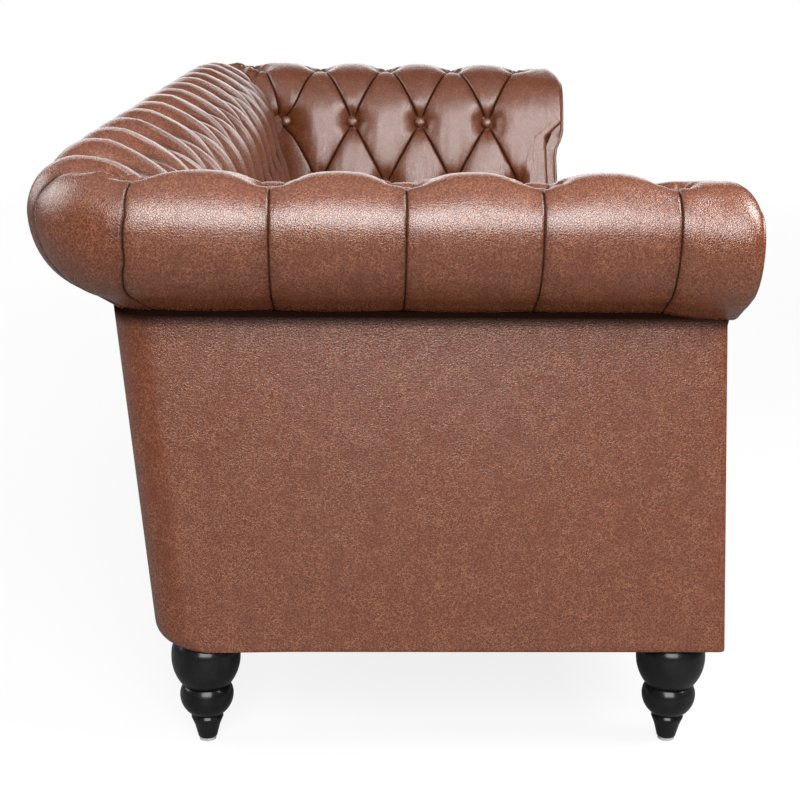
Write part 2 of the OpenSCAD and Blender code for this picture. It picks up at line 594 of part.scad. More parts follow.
// Columns, a core that fills the front of the pad's hollow, a wedge under the pad's front, and the plate
module arm_facing(side) color(leather) on_side(side) {
  lean_bar(facing_in_x + fit, frame_x - fit, front_lip_y, frame_front_y, base_z, lip_z - fit);
  box(half_w - board_top_e, frame_x - fit, plug_y, frame_front_y - 2, lip_z - 30, core_top);
  box(frame_x - 1, half_w - roll_rail_e - 5, plug_y, frame_front_y - 2,
    roll_rail_z + 5, core_top);
  intersection() {
    along_x(0, half_w) polygon([[plug_y, lip_z - 1], [frame_front_y - fit, lip_z - 1],
      [frame_front_y + front_at(wedge_z) - fit, wedge_z - wedge_drop],
      [plug_y, row2_z - wedge_drop]]);
    along_y(front_y, 0) translate([half_w, 0]) mirror([1, 0]) polygon([[board_top_e - 1, lip_z - 1],
      [face_inset(lip_z) - scroll_inset, lip_z - 1], [face_inset(row2_z) - scroll_inset, row2_z],
      [board_top_e - 1, row2_z]]);
  }
  along_y(roll_front_y, roll_front_y + scroll_t)
    translate([half_w, 0]) mirror([1, 0]) polygon(scroll_pts(scroll_inset));
}
border_x = facing_in_x - 2 * fit;
module front_border() color(leather) along_x(-border_x, border_x) polygon([
  [front_lip_y + front_at(base_z), base_z], [frame_front_y + front_at(base_z), base_z],
  [frame_front_y + front_at(rail_top), rail_top + fit], [border_lip_y, rail_top + fit],
  [border_lip_y, seat_base_z], [front_lip_y + front_at(seat_base_z), seat_base_z]]);

// Buttons with their pulling twine, seated in the pits. At the mitre the twine is thin, and its foot stands
// on the arm's pit, which ends higher than the back's
twine_r = 2.2;
twine_tip = 1.8;
mitre_twine_r = 1.1;
mitre_foot = 4.8;
head_lift = 12.5;
corner_lift = 15;
mitre_lift = 19;
module button(head_z = head_lift, r = twine_r, foot = fit) rotate_extrude($fn = 24) polygon([[0, foot],
  [r, foot + twine_tip], [r, head_z - 1], [button_r, head_z], [button_r * 0.93, head_z + button_dome * 0.5],
  [button_r * 0.55, head_z + button_dome * 0.9], [0, head_z + button_dome]]);
function row_station(row) = row == 0 ? inner_at(crest_a, 0)
  : row == 1 ? face_at(row2_z, 1) : face_at(row3_z, 2);
function arm_pit_col(p) = p[0] < 3.01 ? arm_front_cols + round(p[0] * 8)
  : arm_front_cols + arm_straight_cols + 6;
module arm_buttons(side) color(leather) on_side(side)
  for (p = arm_pits) if (p[0] < 3 + 0.9 * arm_zone_s / arm_pitch) {
    st = row_station(p[1]);
    q = arm_pt(arm_pit_col(p), st, false);
    translate([half_w - q[0], q[1], q[2]]) rotate([0, st[1] - 90, 0]) button();
  }
function back_pit_col(p) = p[0] < 5.01 ? p[0] * 4 : p[1] == 1 ? back_side_cols + 3
  : p[0] < 6.5 ? back_side_cols + corner_cols / 2 : back_side_cols + corner_cols;
module back_button(p, side) {
  st = row_station(p[1]);
  q = back_half_pt(back_pit_col(p), st, false);
  translate([side * q[1], rear_y - q[0], q[2]]) rotate([90 - st[1], 0, 0])
    if (p[0] > 6.5) button(mitre_lift, mitre_twine_r, mitre_foot);
    else button(p[0] > 5.01 ? corner_lift : head_lift);
}
module back_buttons(row) color(leather) {
  if (row != 1) back_button([0, row], 1);
  for (side = [-1, 1]) for (p = back_half_pits) if (p[1] == row) back_button(p, side);
}

// Seat cushions: a box form with a crown, and sides that pull in between the corners
cushion_front_y = front_lip_y + front_at(seat_base_z + cushion_t / 2) + cushion_setback;
cushion_rear_y = rear_y - seat_inset - 2;
cushion_d = cushion_rear_y - cushion_front_y;
cushion_n = 12;
side_rows = 3;
side_draw = 5;
function swell(u) = pow(max(0, 1 - pow(abs(u), 2.6)), 0.7);
function edge_pull(u, v) = cushion_draw * (1 - pow(abs(v), 3)) * sign(u) * pow(abs(u), 6);
function cushion_xy(i, j, tight) = let (u = 2 * i / cushion_n - 1, v = 2 * j / cushion_n - 1)
  [u * cushion_w / 2 - edge_pull(u, v) - tight * sign(u) * pow(abs(u), 8),
   v * cushion_d / 2 - edge_pull(v, u) - tight * sign(v) * pow(abs(v), 8)];
function top_pt(i, j) = let (u = 2 * i / cushion_n - 1, v = 2 * j / cushion_n - 1, p = cushion_xy(i, j, 0))
  [p[0], p[1], cushion_t + cushion_crown * swell(u) * swell(v)];
function low_pt(i, j) = let (p = cushion_xy(i, j, 0)) [p[0], p[1], 0];
// The rim runs round the grid, starting at its first corner
rim = concat([for (i = [0 : cushion_n - 1]) [i, 0]], [for (j = [0 : cushion_n - 1]) [cushion_n, j]],
  [for (i = [cushion_n : -1 : 1]) [i, cushion_n]], [for (j = [cushion_n : -1 : 1]) [0, j]]);
module cushion_form() {
  g = cushion_n + 1;
  grid = g * g;
  nr = len(rim);
  belt = [for (k = [1 : side_rows - 1]) for (r = rim)
    let (w = k / side_rows, p = cushion_xy(r[0], r[1], side_draw * (1 - pow(2 * w - 1, 2))))
      [p[0], p[1], w * cushion_t]];
  pts = concat([for (j = [0 : cushion_n]) for (i = [0 : cushion_n]) low_pt(i, j)],
    [for (j = [0 : cushion_n]) for (i = [0 : cushion_n]) top_pt(i, j)], belt);
  low_rim = [for (r = rim) r[1] * g + r[0]];
  top_rim = [for (r = rim) grid + r[1] * g + r[0]];
  ring = function (k) k == 0 ? low_rim : k == side_rows ? top_rim
    : [for (i = [0 : nr - 1]) 2 * grid + (k - 1) * nr + i];
  flat = [for (j = [0 : cushion_n - 1]) for (i = [0 : cushion_n - 1])
    let (a = j * g + i) [a, a + 1, a + 1 + g, a + g]];
  low_faces = [for (q = flat) for (t = quad(q[0], q[1], q[2], q[3], false)) t];
  top_faces = [for (q = flat) for (t = quad(q[0] + grid, q[3] + grid, q[2] + grid, q[1] + grid, false)) t];
  side_faces = [for (k = [0 : side_rows - 1]) for (i = [0 : nr - 1])
    let (a = ring(k), b = ring(k + 1), n = (i + 1) % nr) for (t = quad(a[i], b[i], b[n], a[n], false)) t];
  polyhedron(pts, concat(low_faces, top_faces, side_faces));
}
cushion_mid_y = (cushion_front_y + cushion_rear_y) / 2;
module seat_cushion(place) color(leather)
  translate([place * (cushion_w + cushion_gap), cushion_mid_y, seat_base_z + fit]) cushion_form();

// Turned feet
// The turned part ends just under the upholstery, and a collar goes on up to the frame
foot_top = base_z - 0.5;
foot_collar_r = 18;
bowl_z = foot_h * 0.79;
neck_z = foot_h * 0.527;
ball_z = foot_h * 0.433;
cup_z = foot_h * 0.22;
function bulge(r0, r1, z0, z1, n) = let (dr = r0 - r1, dz = abs(z0 - z1),
    big = (dz * dz + dr * dr) / (2 * dr), a1 = asin(dz / big), s = z1 > z0 ? 1 : -1)
  [for (i = [0 : n]) let (a = a1 * i / n) [r0 - big + big * cos(a), z0 + s * big * sin(a)]];
screw_hole_l = foot_h * 0.25;
function foot_profile() = concat(
  [[0, glide_h], [foot_tip_r, glide_h], [foot_tip_r + 1.5, glide_h + 5]],
  [[foot_cup_r - 1.5, cup_z - 4], [foot_cup_r, cup_z]],
  [for (i = [6 : -1 : 0]) bulge(foot_ball_r, foot_cup_r - 2, ball_z, cup_z + 4, 6)[i]],
  [for (i = [1 : 4]) bulge(foot_ball_r, foot_neck_r, ball_z, neck_z, 4)[i]],
  [for (i = [7 : -1 : 0]) bulge(foot_bowl_r, foot_neck_r, bowl_z, neck_z, 8)[i]],
  [[foot_bowl_r - 1.5, foot_top - 11], [foot_bowl_r - 7, foot_top], [foot_collar_r, foot_top],
    [foot_collar_r, foot_h]],
  [[bolt_r + 0.05, foot_h], [bolt_r + 0.05, foot_h - screw_hole_l], [0, foot_h - screw_hole_l]]);
module turned_foot() color(black_gloss) rotate_extrude($fn = 64) polygon(foot_profile());
module place_foot(side, front) translate([side * foot_x, front ? front_foot_y : rear_foot_y, 0]) children();
foot_places = [[-1, true], [1, true], [-1, false], [1, false]];
module centre_foot() color(black_gloss)
  box(-centre_foot_w / 2, centre_foot_w / 2, -centre_foot_w / 2, centre_foot_w / 2, glide_h, rail_z);
module foot_screws() color(steel) for (p = foot_places) place_foot(p[0], p[1])
  translate([0, 0, rail_z - screw_hole_l + fit]) cylinder(r = bolt_r, h = bolt_l);
module foot_inserts() color(steel) for (p = foot_places) place_foot(p[0], p[1])
  translate([0, 0, rail_z]) difference() {
    cylinder(r = nut_r, h = block_h - 8);
    translate([0, 0, -1]) cylinder(r = bolt_r + 0.05, h = block_h);
  }
module foot_glides() color(cloth) {
  for (p = foot_places) place_foot(p[0], p[1]) cylinder(r = glide_r, h = glide_h);
  cylinder(r = centre_foot_w * 0.4, h = glide_h);
}
module corner_blocks() color(timber) for (side = [-1, 1]) corner_block(side);

front_rail();
back_rail();
side_rail(1);  // left_side_rail
side_rail(-1);  // right_side_rail
centre_rail();
corner_blocks();
front_post(1);  // left_front_post
front_post(-1);  // right_front_post
arm_rear_post(1);  // left_arm_rear_post
arm_rear_post(-1);  // right_arm_rear_post
back_uprights();
arm_top_rail(1);  // left_arm_top_rail
arm_top_rail(-1);  // right_arm_top_rail
back_top_rail();
roll_rail(1);  // left_roll_rail
roll_rail(-1);  // right_roll_rail
back_roll_rail();
arm_tack_rail(1);  // left_arm_tack_rail
arm_tack_rail(-1);  // right_arm_tack_rail
back_tack_rail();
arm_board(1);  // left_arm_board
arm_board(-1);  // right_arm_board
back_board();
seat_springs();
spring_clips();
seat_deck();
dust_cover();
color(leather) arm_pad_form();  // left_arm_pad
color(leather) mirror([1, 0, 0]) arm_pad_form();  // right_arm_pad
color(leather) back_pad_form();  // back_pad
side_outer_panel(1);  // left_outer_panel
side_outer_panel(-1);  // right_outer_panel
back_outer_panel();
arm_facing(1);  // left_arm_facing
arm_facing(-1);  // right_arm_facing
front_border();
arm_buttons(1);  // left_arm_buttons
arm_buttons(-1);  // right_arm_buttons
back_buttons(0);  // back_crest_buttons
back_buttons(1);  // back_middle_buttons
back_buttons(2);  // back_lower_buttons
seat_cushion(1);  // left_seat_cushion
seat_cushion(0);  // centre_seat_cushion
seat_cushion(-1);  // right_seat_cushion
place_foot(1, true) turned_foot();  // front_left_foot
place_foot(-1, true) turned_foot();  // front_right_foot
place_foot(1, false) turned_foot();  // rear_left_foot
place_foot(-1, false) turned_foot();  // rear_right_foot
centre_foot();
foot_screws();
foot_inserts();
foot_glides();
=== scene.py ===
"""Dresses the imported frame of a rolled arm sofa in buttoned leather, with lamps and a camera."""

import json
import math

import bmesh
import bpy
import numpy as np
from bpy.props import FloatProperty, FloatVectorProperty, PointerProperty
from mathutils import Matrix, Vector, noise


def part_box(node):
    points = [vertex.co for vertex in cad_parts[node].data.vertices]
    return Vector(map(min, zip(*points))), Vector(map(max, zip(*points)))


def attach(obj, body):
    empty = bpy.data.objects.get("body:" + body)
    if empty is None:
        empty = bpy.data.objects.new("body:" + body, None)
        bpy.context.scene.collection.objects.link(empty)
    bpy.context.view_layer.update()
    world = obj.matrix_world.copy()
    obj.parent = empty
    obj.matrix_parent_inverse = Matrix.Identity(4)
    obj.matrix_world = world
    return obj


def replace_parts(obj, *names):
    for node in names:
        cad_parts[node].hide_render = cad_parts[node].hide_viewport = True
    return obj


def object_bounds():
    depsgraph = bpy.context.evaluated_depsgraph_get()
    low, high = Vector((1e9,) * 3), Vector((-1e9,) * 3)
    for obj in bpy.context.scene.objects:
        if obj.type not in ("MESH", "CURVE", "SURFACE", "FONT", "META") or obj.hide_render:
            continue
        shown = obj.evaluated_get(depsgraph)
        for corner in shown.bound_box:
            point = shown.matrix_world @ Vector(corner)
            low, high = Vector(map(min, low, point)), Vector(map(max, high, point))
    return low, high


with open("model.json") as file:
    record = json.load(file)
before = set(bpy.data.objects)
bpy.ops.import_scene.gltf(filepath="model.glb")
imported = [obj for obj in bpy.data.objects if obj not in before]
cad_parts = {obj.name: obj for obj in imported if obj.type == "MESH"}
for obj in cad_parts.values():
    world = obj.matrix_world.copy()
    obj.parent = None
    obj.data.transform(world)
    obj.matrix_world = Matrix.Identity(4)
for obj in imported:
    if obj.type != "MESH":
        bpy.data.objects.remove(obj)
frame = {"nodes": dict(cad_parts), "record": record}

bl_info = {
    "name": "Rolled arm sofa",
    "version": (1, 0, 0),
    "blender": (4, 5, 0),
    "location": "View3D > Sidebar > Sofa",
    "description": "Dresses the packed frame of a rolled arm sofa in buttoned leather",
    "category": "Add Mesh",
}

# Sizes that come from the frame, in metres
CAD_LO, CAD_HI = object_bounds()
HALF_W, REAR_Y, FRONT_Y, TOP_Z = (round(v, 3) for v in (CAD_HI.x, CAD_HI.y, CAD_LO.y, CAD_HI.z))
FIT = 0.0003
PANEL_LO, PANEL_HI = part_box("left_outer_panel")
SIDE_X = round(PANEL_HI.x, 4)
BASE_Z = round(PANEL_LO.z, 4)
LIP_Z = round(PANEL_HI.z + FIT, 4)
REAR_LIP_Y = round(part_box("back_outer_panel")[1].y, 3)
DECK_Z = round(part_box("seat_deck")[1].z, 4)
SEAM_X = round(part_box("back_outer_panel")[1].x, 4)
ARM_OVERHANG, BACK_OVERHANG = HALF_W - SIDE_X, REAR_Y - REAR_LIP_Y
BORDER_X = round(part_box("front_border")[1].x, 4)
PAD_FRONT_Y = round(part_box("left_arm_pad")[0].y, 4) - 0.0055
CUSHIONS = {"left_cushion": "left_seat_cushion", "centre_cushion": "centre_seat_cushion",
            "right_cushion": "right_seat_cushion"}
SIDES = {"left": 1, "right": -1}

# Grid cells per button pitch on an arm and on the back, and steps that round an arm pad's front edge
PER_ARM, PER_BACK, FRONT_STEPS = 52, 46, 7
# Gaps and thicknesses of the covers, in metres
MITRE_GAP, COVER_GAP, COVER_T, BORDER_T, CAVITY_IN = 0.0002, 0.0005, 0.008, 0.012, 0.012
# Distance over which painted shade on a cover darkens towards the lip of the roll above it
LIP_SHADE = 0.021


class SofaShape(bpy.types.PropertyGroup):
    """Sizes of the rolls and of the faces below them"""

    shoulder_r: FloatProperty(name="Shoulder radius", description="Radius of a roll's outer shoulder",
                              default=0.062, unit="LENGTH")
    under_r: FloatProperty(name="Underside radius", description="Radius of a roll's underside",
                           default=0.097, unit="LENGTH")
    inner_r: FloatProperty(name="Inner radius", description="Radius of a roll's inner side",
                           default=0.145, unit="LENGTH")
    corner_r: FloatProperty(name="Corner radius", description="Plan radius of the roll at the rear corners",
                            default=0.150, unit="LENGTH")
    face_lean: FloatProperty(name="Face lean", description="Lean of the inner faces from upright",
                             default=math.radians(14.5), subtype="ANGLE", unit="ROTATION")
    front_lean: FloatProperty(name="Front lean", description="Backward lean of the arm fronts",
                              default=math.radians(3.1), subtype="ANGLE", unit="ROTATION")
    rear_lean: FloatProperty(name="Rear lean", description="Backward lean of the rear panel",
                             default=math.radians(5.3), subtype="ANGLE", unit="ROTATION")
    knee_rise: FloatProperty(name="Knee height", default=0.168, unit="LENGTH",
                             description="Height above the deck up to which faces are upright")
    body_corner_r: FloatProperty(name="Body corner", description="Plan radius of the body's rear corners",
                                 default=0.055, unit="LENGTH")
    heel_r: FloatProperty(name="Heel radius", description="Radius of the rounded lower rear edge",
                          default=0.026, unit="LENGTH")
    front_round: FloatProperty(name="Front rounding", description="Rounding of the rolls' front ends",
                               default=0.010, unit="LENGTH")
    front_round_top: FloatProperty(name="Crest rounding", default=0.024, unit="LENGTH",
                                   description="Extra rounding of those ends at the crest")
    front_droop: FloatProperty(name="Front droop", description="Drop of the rolls at their front ends",
                               default=0.008, unit="LENGTH")


class SofaButtoning(bpy.types.PropertyGroup):
    """Places and depths of the buttons, pleats and puffs"""

    arm_pitch: FloatProperty(name="Arm pitch", description="Distance between buttons along an arm",
                             default=0.1555, unit="LENGTH")
    back_pitch: FloatProperty(name="Back pitch", description="Distance between buttons along the back",
                              default=0.141, unit="LENGTH")
    arm_first: FloatProperty(name="First arm button", description="Setback of the first arm button",
                             default=0.105, unit="LENGTH")
    crest_inset: FloatProperty(name="Crest inset", description="Inset of the crest buttons from the outside",
                               default=0.072, unit="LENGTH")
    row2_drop: FloatProperty(name="Second row", description="Drop of the second row of buttons below the top",
                             default=0.120, unit="LENGTH")
    row3_rise: FloatProperty(name="Third row", description="Height of the third row above the upright part",
                             default=0.030, unit="LENGTH")
    puff: FloatProperty(name="Puff", description="Height of the puffs above the pleats",
                        default=0.013, unit="LENGTH")
    pit_depth: FloatProperty(name="Pit depth", description="Depth of a buttoned pit",
                             default=0.024, unit="LENGTH")
    pit_r: FloatProperty(name="Pit radius", description="Radius over which a pit fades out",
                         default=0.027, unit="LENGTH")
    back_crown: FloatProperty(name="Back crown", description="Extra fullness of the back's crest",
                              default=0.013, unit="LENGTH")
    button_r: FloatProperty(name="Button radius", description="Radius of a button's head",
                            default=0.0110, unit="LENGTH")
    welt_r: FloatProperty(name="Welt radius", description="Radius of the piped seams",
                          default=0.0032, unit="LENGTH")


class SofaColours(bpy.types.PropertyGroup):
    """Colours of the finishes"""

    leather: FloatVectorProperty(name="Leather", description="Colour of the leather", subtype="COLOR", size=3,
                                 default=(0.100, 0.0185, 0.0030), min=0, max=1)
    leather_pale: FloatVectorProperty(name="Leather grain", subtype="COLOR", size=3, min=0, max=1,
                                      description="Colour of the fine pale lines in the grain",
                                      default=(0.245, 0.086, 0.036))
    # Painted shade: the dark colour mixed into the pleats, round the pits and under the rolls' lips
    painted_shade_colour: FloatVectorProperty(name="Leather folds", description="Colour in the folds",
                                      subtype="COLOR", size=3, default=(0.010, 0.004, 0.003), min=0, max=1)
    feet: FloatVectorProperty(name="Feet", description="Colour of the lacquered feet", subtype="COLOR",
                              size=3, default=(0.004, 0.004, 0.0045), min=0, max=1)
    timber: FloatVectorProperty(name="Timber", description="Colour of the frame timber", subtype="COLOR",
                                size=3, default=(0.55, 0.36, 0.18), min=0, max=1)
    floor: FloatVectorProperty(name="Floor", description="Colour of the floor", subtype="COLOR", size=3,
                               default=(0.80, 0.80, 0.80), min=0, max=1)


# Materials
class Value:
    """A node's output socket, on which Python's arithmetic adds Math nodes."""

    def __init__(self, finish, socket):
        self.finish, self.socket = finish, socket

    def math(self, operation, *others):
        return self.finish.node("ShaderNodeMath", {"operation": operation},
                                dict(enumerate((self, *others))))

    def __add__(self, other):
        return self.math("ADD", other)

    def __mul__(self, other):
        return self.math("MULTIPLY", other)

    def __sub__(self, other):
        return self.math("SUBTRACT", other)

    def __rsub__(self, other):
        return self.finish.node("ShaderNodeMath", {"operation": "SUBTRACT"}, {0: other, 1: self})

    __radd__, __rmul__ = __add__, __mul__

    def ramp(self, low, high):
        """0 below low, 1 above high, and a straight ramp between."""
        return self.finish.node("ShaderNodeMapRange", {"clamp": True},
                                {"Value": self, "From Min": low, "From Max": high})


class Finish:
    """A procedural material around one Principled shader."""

    def __init__(self, name):
        self.material = bpy.data.materials.new(name)
        self.material.use_nodes = True
        self.tree = self.material.node_tree
        self.shader = self.tree.nodes["Principled BSDF"]
        self.place = self.node("ShaderNodeTexCoord", {}, {}, "Object")

    def node(self, kind, settings, sockets, output=0):
        made = self.tree.nodes.new(kind)
        for key, value in settings.items():
            setattr(made, key, value)
        for key, value in sockets.items():
            self.put(made.inputs[key], value)
        return Value(self, made.outputs[output])

    def put(self, socket, value):
        if isinstance(value, Value):
            self.tree.links.new(value.socket, socket)
        elif isinstance(value, (int, float)):
            socket.default_value = value
        else:
            value = tuple(value)
            socket.default_value = value + (1.0,) if len(socket.default_value) > len(value) else value

    def noise(self, scale, detail=2.0, vector=None):
        return self.node("ShaderNodeTexNoise", {}, {"Vector": vector or self.place, "Scale": scale,
                                                    "Detail": detail}, "Fac")

    def mix(self, factor, a, b):
        return self.node("ShaderNodeMix", {"data_type": "RGBA"}, {0: factor, 6: a, 7: b}, 2)

    def bump(self, height, distance, strength):
        return self.node("ShaderNodeBump", {}, {"Height": height, "Distance": distance, "Strength": strength})

    def attribute(self, name):
        return self.node("ShaderNodeAttribute", {"attribute_name": name}, {}, "Fac")

    def set(self, **sockets):
        for key, value in sockets.items():
            self.put(self.shader.inputs[key.replace("_", " ")], value)
        return self.material


def leather_finish(name, colours, folds):
    """Grained leather: fine pale wormy lines over a darker brown and soft mottling; with folds set, painted
    shade, a dull dark shader mixed in along the pleats, round the pits and under the rolls' lips.
    """
    f = Finish(name)
    mottle = f.noise(38.0, 3.0)
    broad = f.noise(5.0, 2.0)
    worms = [1 - (f.noise(scale, 1.5) - 0.5).math("ABSOLUTE").ramp(0.0, width)
             for scale, width in ((200.0, 0.042), (270.0, 0.036))]
    lines = worms[0].math("MAXIMUM", worms[1]) * (mottle.ramp(0.30, 0.62) * 0.5 + 0.5)
    brown = f.mix((broad.ramp(0.3, 0.7) * 0.5 + mottle.ramp(0.35, 0.7) * 0.5) * 0.35, colours.leather,
                  [c * 0.62 for c in colours.leather])
    colour = f.mix(lines, brown, colours.leather_pale)
    pebble = f.node("ShaderNodeTexVoronoi", {"feature": "DISTANCE_TO_EDGE"},
                    {"Vector": f.place, "Scale": 340.0}, "Distance").ramp(0.0, 0.22)
    rough = 0.22 + (1 - pebble) * 0.08 + broad.ramp(0.3, 0.7) * 0.05
    relief = pebble * 0.8 + lines * 0.4 + f.noise(1100.0, 1.0) * 0.35 + mottle * 0.8
    f.set(Base_Color=colour, Roughness=rough, Specular_IOR_Level=1.0, Normal=f.bump(relief, 0.0003, 0.6))
    # Painted shade: a dark diffuse shader mixed in by a vertex value along the pleats, round the pits and
    # under the rolls' lips
    if folds:
        fold = f.attribute("crease").math("MINIMUM", 1.0)
        shade = f.node("ShaderNodeBsdfDiffuse", {}, {"Color": colours.painted_shade_colour})
        blend = f.node("ShaderNodeMixShader", {}, {0: fold, 1: Value(f, f.shader.outputs[0]), 2: shade})
        f.tree.links.new(blend.socket, f.tree.nodes["Material Output"].inputs["Surface"])
    return f.material


def lacquer_finish(name, colours):
    """Black satin lacquer over turned wood, with faint turning marks and dust in the grain."""
    f = Finish(name)
    stretched = f.node("ShaderNodeMapping", {}, {"Vector": f.place, "Scale": (1.0, 1.0, 9.0)})
    marks = f.noise(60.0, 3.0, stretched)
    haze = f.noise(25.0, 2.0)
    colour = f.mix(haze.ramp(0.4, 0.8) * 0.5, colours.feet, (0.016, 0.015, 0.014))
    return f.set(Base_Color=colour, Roughness=0.20 + haze.ramp(0.3, 0.8) * 0.14, Coat_Weight=0.10,
                 Coat_Roughness=0.08, Specular_IOR_Level=0.3, Normal=f.bump(marks, 0.0004, 0.25))


def timber_finish(name, colours):
    """Sawn softwood with growth lines along X and Y."""
    f = Finish(name)
    stretched = f.node("ShaderNodeMapping", {}, {"Vector": f.place, "Scale": (6.0, 6.0, 60.0)})
    rings = f.node("ShaderNodeTexWave", {"wave_type": "BANDS", "bands_direction": "Z"},
                   {"Vector": stretched, "Scale": 1.0, "Distortion": 5.0, "Detail": 2.0}, "Fac")
    saw = f.noise(240.0, 2.0)
    colour = f.mix(rings * 0.6, colours.timber, (0.38, 0.21, 0.09))
    return f.set(Base_Color=colour, Roughness=0.62 + saw * 0.2, Normal=f.bump(saw + rings * 0.3, 0.0006, 0.5))


def ply_finish(name):
    """Sanded plywood with a broad, pale figure."""
    f = Finish(name)
    stretched = f.node("ShaderNodeMapping", {}, {"Vector": f.place, "Scale": (2.0, 2.0, 14.0)})
    figure = f.noise(3.0, 5.0, stretched)
    pores = f.noise(400.0, 2.0)
    colour = f.mix(figure.ramp(0.35, 0.7), (0.62, 0.44, 0.25), (0.45, 0.29, 0.15))
    return f.set(Base_Color=colour, Roughness=0.6 + pores * 0.15, Normal=f.bump(pores, 0.0003, 0.4))


def zinc_finish(name):
    """Zinc-plated steel with a spangled tone."""
    f = Finish(name)
    spangle = f.node("ShaderNodeTexVoronoi", {}, {"Vector": f.place, "Scale": 260.0}, "Distance")
    colour = f.mix(spangle.ramp(0.0, 0.8), (0.56, 0.57, 0.60), (0.40, 0.41, 0.43))
    return f.set(Base_Color=colour, Metallic=1.0, Roughness=0.28 + spangle * 0.2,
                 Normal=f.bump(spangle, 0.0002, 0.3))


def cloth_finish(name):
    """Black non-woven cloth with felted threads and pressed dots."""
    f = Finish(name)
    dots = f.node("ShaderNodeTexVoronoi", {}, {"Vector": f.place, "Scale": 330.0, "Randomness": 0.25},
                  "Distance")
    threads = f.noise(900.0, 4.0)
    colour = f.mix(threads.ramp(0.35, 0.7), (0.010, 0.010, 0.011), (0.045, 0.045, 0.048))
    return f.set(Base_Color=colour, Roughness=0.85 + threads * 0.1,
                 Normal=f.bump(dots.ramp(0.1, 0.5) + threads * 0.6, 0.0006, 0.7))


def nylon_finish(name):
    """Grey moulded nylon, scuffed where it slides."""
    f = Finish(name)
    scuff = f.noise(300.0, 3.0)
    colour = f.mix(scuff.ramp(0.4, 0.7), (0.42, 0.41, 0.39), (0.30, 0.29, 0.28))
    return f.set(Base_Color=colour, Roughness=0.42 + scuff * 0.25, Normal=f.bump(scuff, 0.0002, 0.4))


# Meshes
def paint_shade_under_lip(bm):
    """Marks with painted shade the vertices of a cover near the roll's lip, where it tucks in: a painted
    shadow under the overhanging roll.
    """
    layer = bm.verts.layers.float.new("crease")
    for v in bm.verts:
        gap = abs(v.co.z - LIP_Z) / LIP_SHADE
        v[layer] = max(0.0, 1 - gap) ** 0.6 + 0.25 * max(0.0, 1 - gap / 4) ** 2


def finish_piece(name, bm, material, body="sofa", sharp=None):
    """Makes a mesh object of bm, gives it its finish and lets it ride on its body."""
    for face in bm.faces:
        face.smooth = True
    if sharp is not None:
        for edge in bm.edges:
            if len(edge.link_faces) == 2 and edge.calc_face_angle(0) > sharp:
                edge.smooth = False
    mesh = bpy.data.meshes.new(name)
    bm.to_mesh(mesh)
    bm.free()
    mesh.materials.append(material)
    piece = bpy.data.objects.new(name, mesh)
    bpy.context.scene.collection.objects.link(piece)
    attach(piece, body)
    return piece


def welt(bm, path, radius, closed=False):
    """Adds a piped welt, a round tube along a path, to a bmesh."""
    curve = bpy.data.curves.new("welt_path", "CURVE")
    curve.dimensions = "3D"
    spline = curve.splines.new("POLY")
    spline.points.add(len(path) - 1)
    for point, place in zip(spline.points, path):
        point.co = (*place, 1.0)
    spline.use_cyclic_u = closed
    curve.bevel_depth = radius
    curve.bevel_resolution = 3
    curve.use_fill_caps = True
    holder = bpy.data.objects.new("welt_path", curve)
    mesh = bpy.data.meshes.new_from_object(holder)
    bm.from_mesh(mesh)
    bpy.data.objects.remove(holder)
    bpy.data.curves.remove(curve)
    bpy.data.meshes.remove(mesh)


def smooth_step(x):
    """0 up to 0, 1 from 1 on, and a soft step between."""
    x = np.clip(x, 0.0, 1.0)
    return x * x * (3 - 2 * x)


def hill(t):
    """Half a puff: 0 at a pleat and 1 from its middle on."""
    return np.sin(math.pi * np.clip(t, 0.0, 0.5))


def wander(points, size, seed):
    """Smooth noise from -1 to 1 at each point, with bumps of about the given size."""
    shift = Vector((seed * 7.3, seed * 3.1, seed * 5.7))
    return np.array([noise.noise(Vector(p) / size + shift) for p in points])


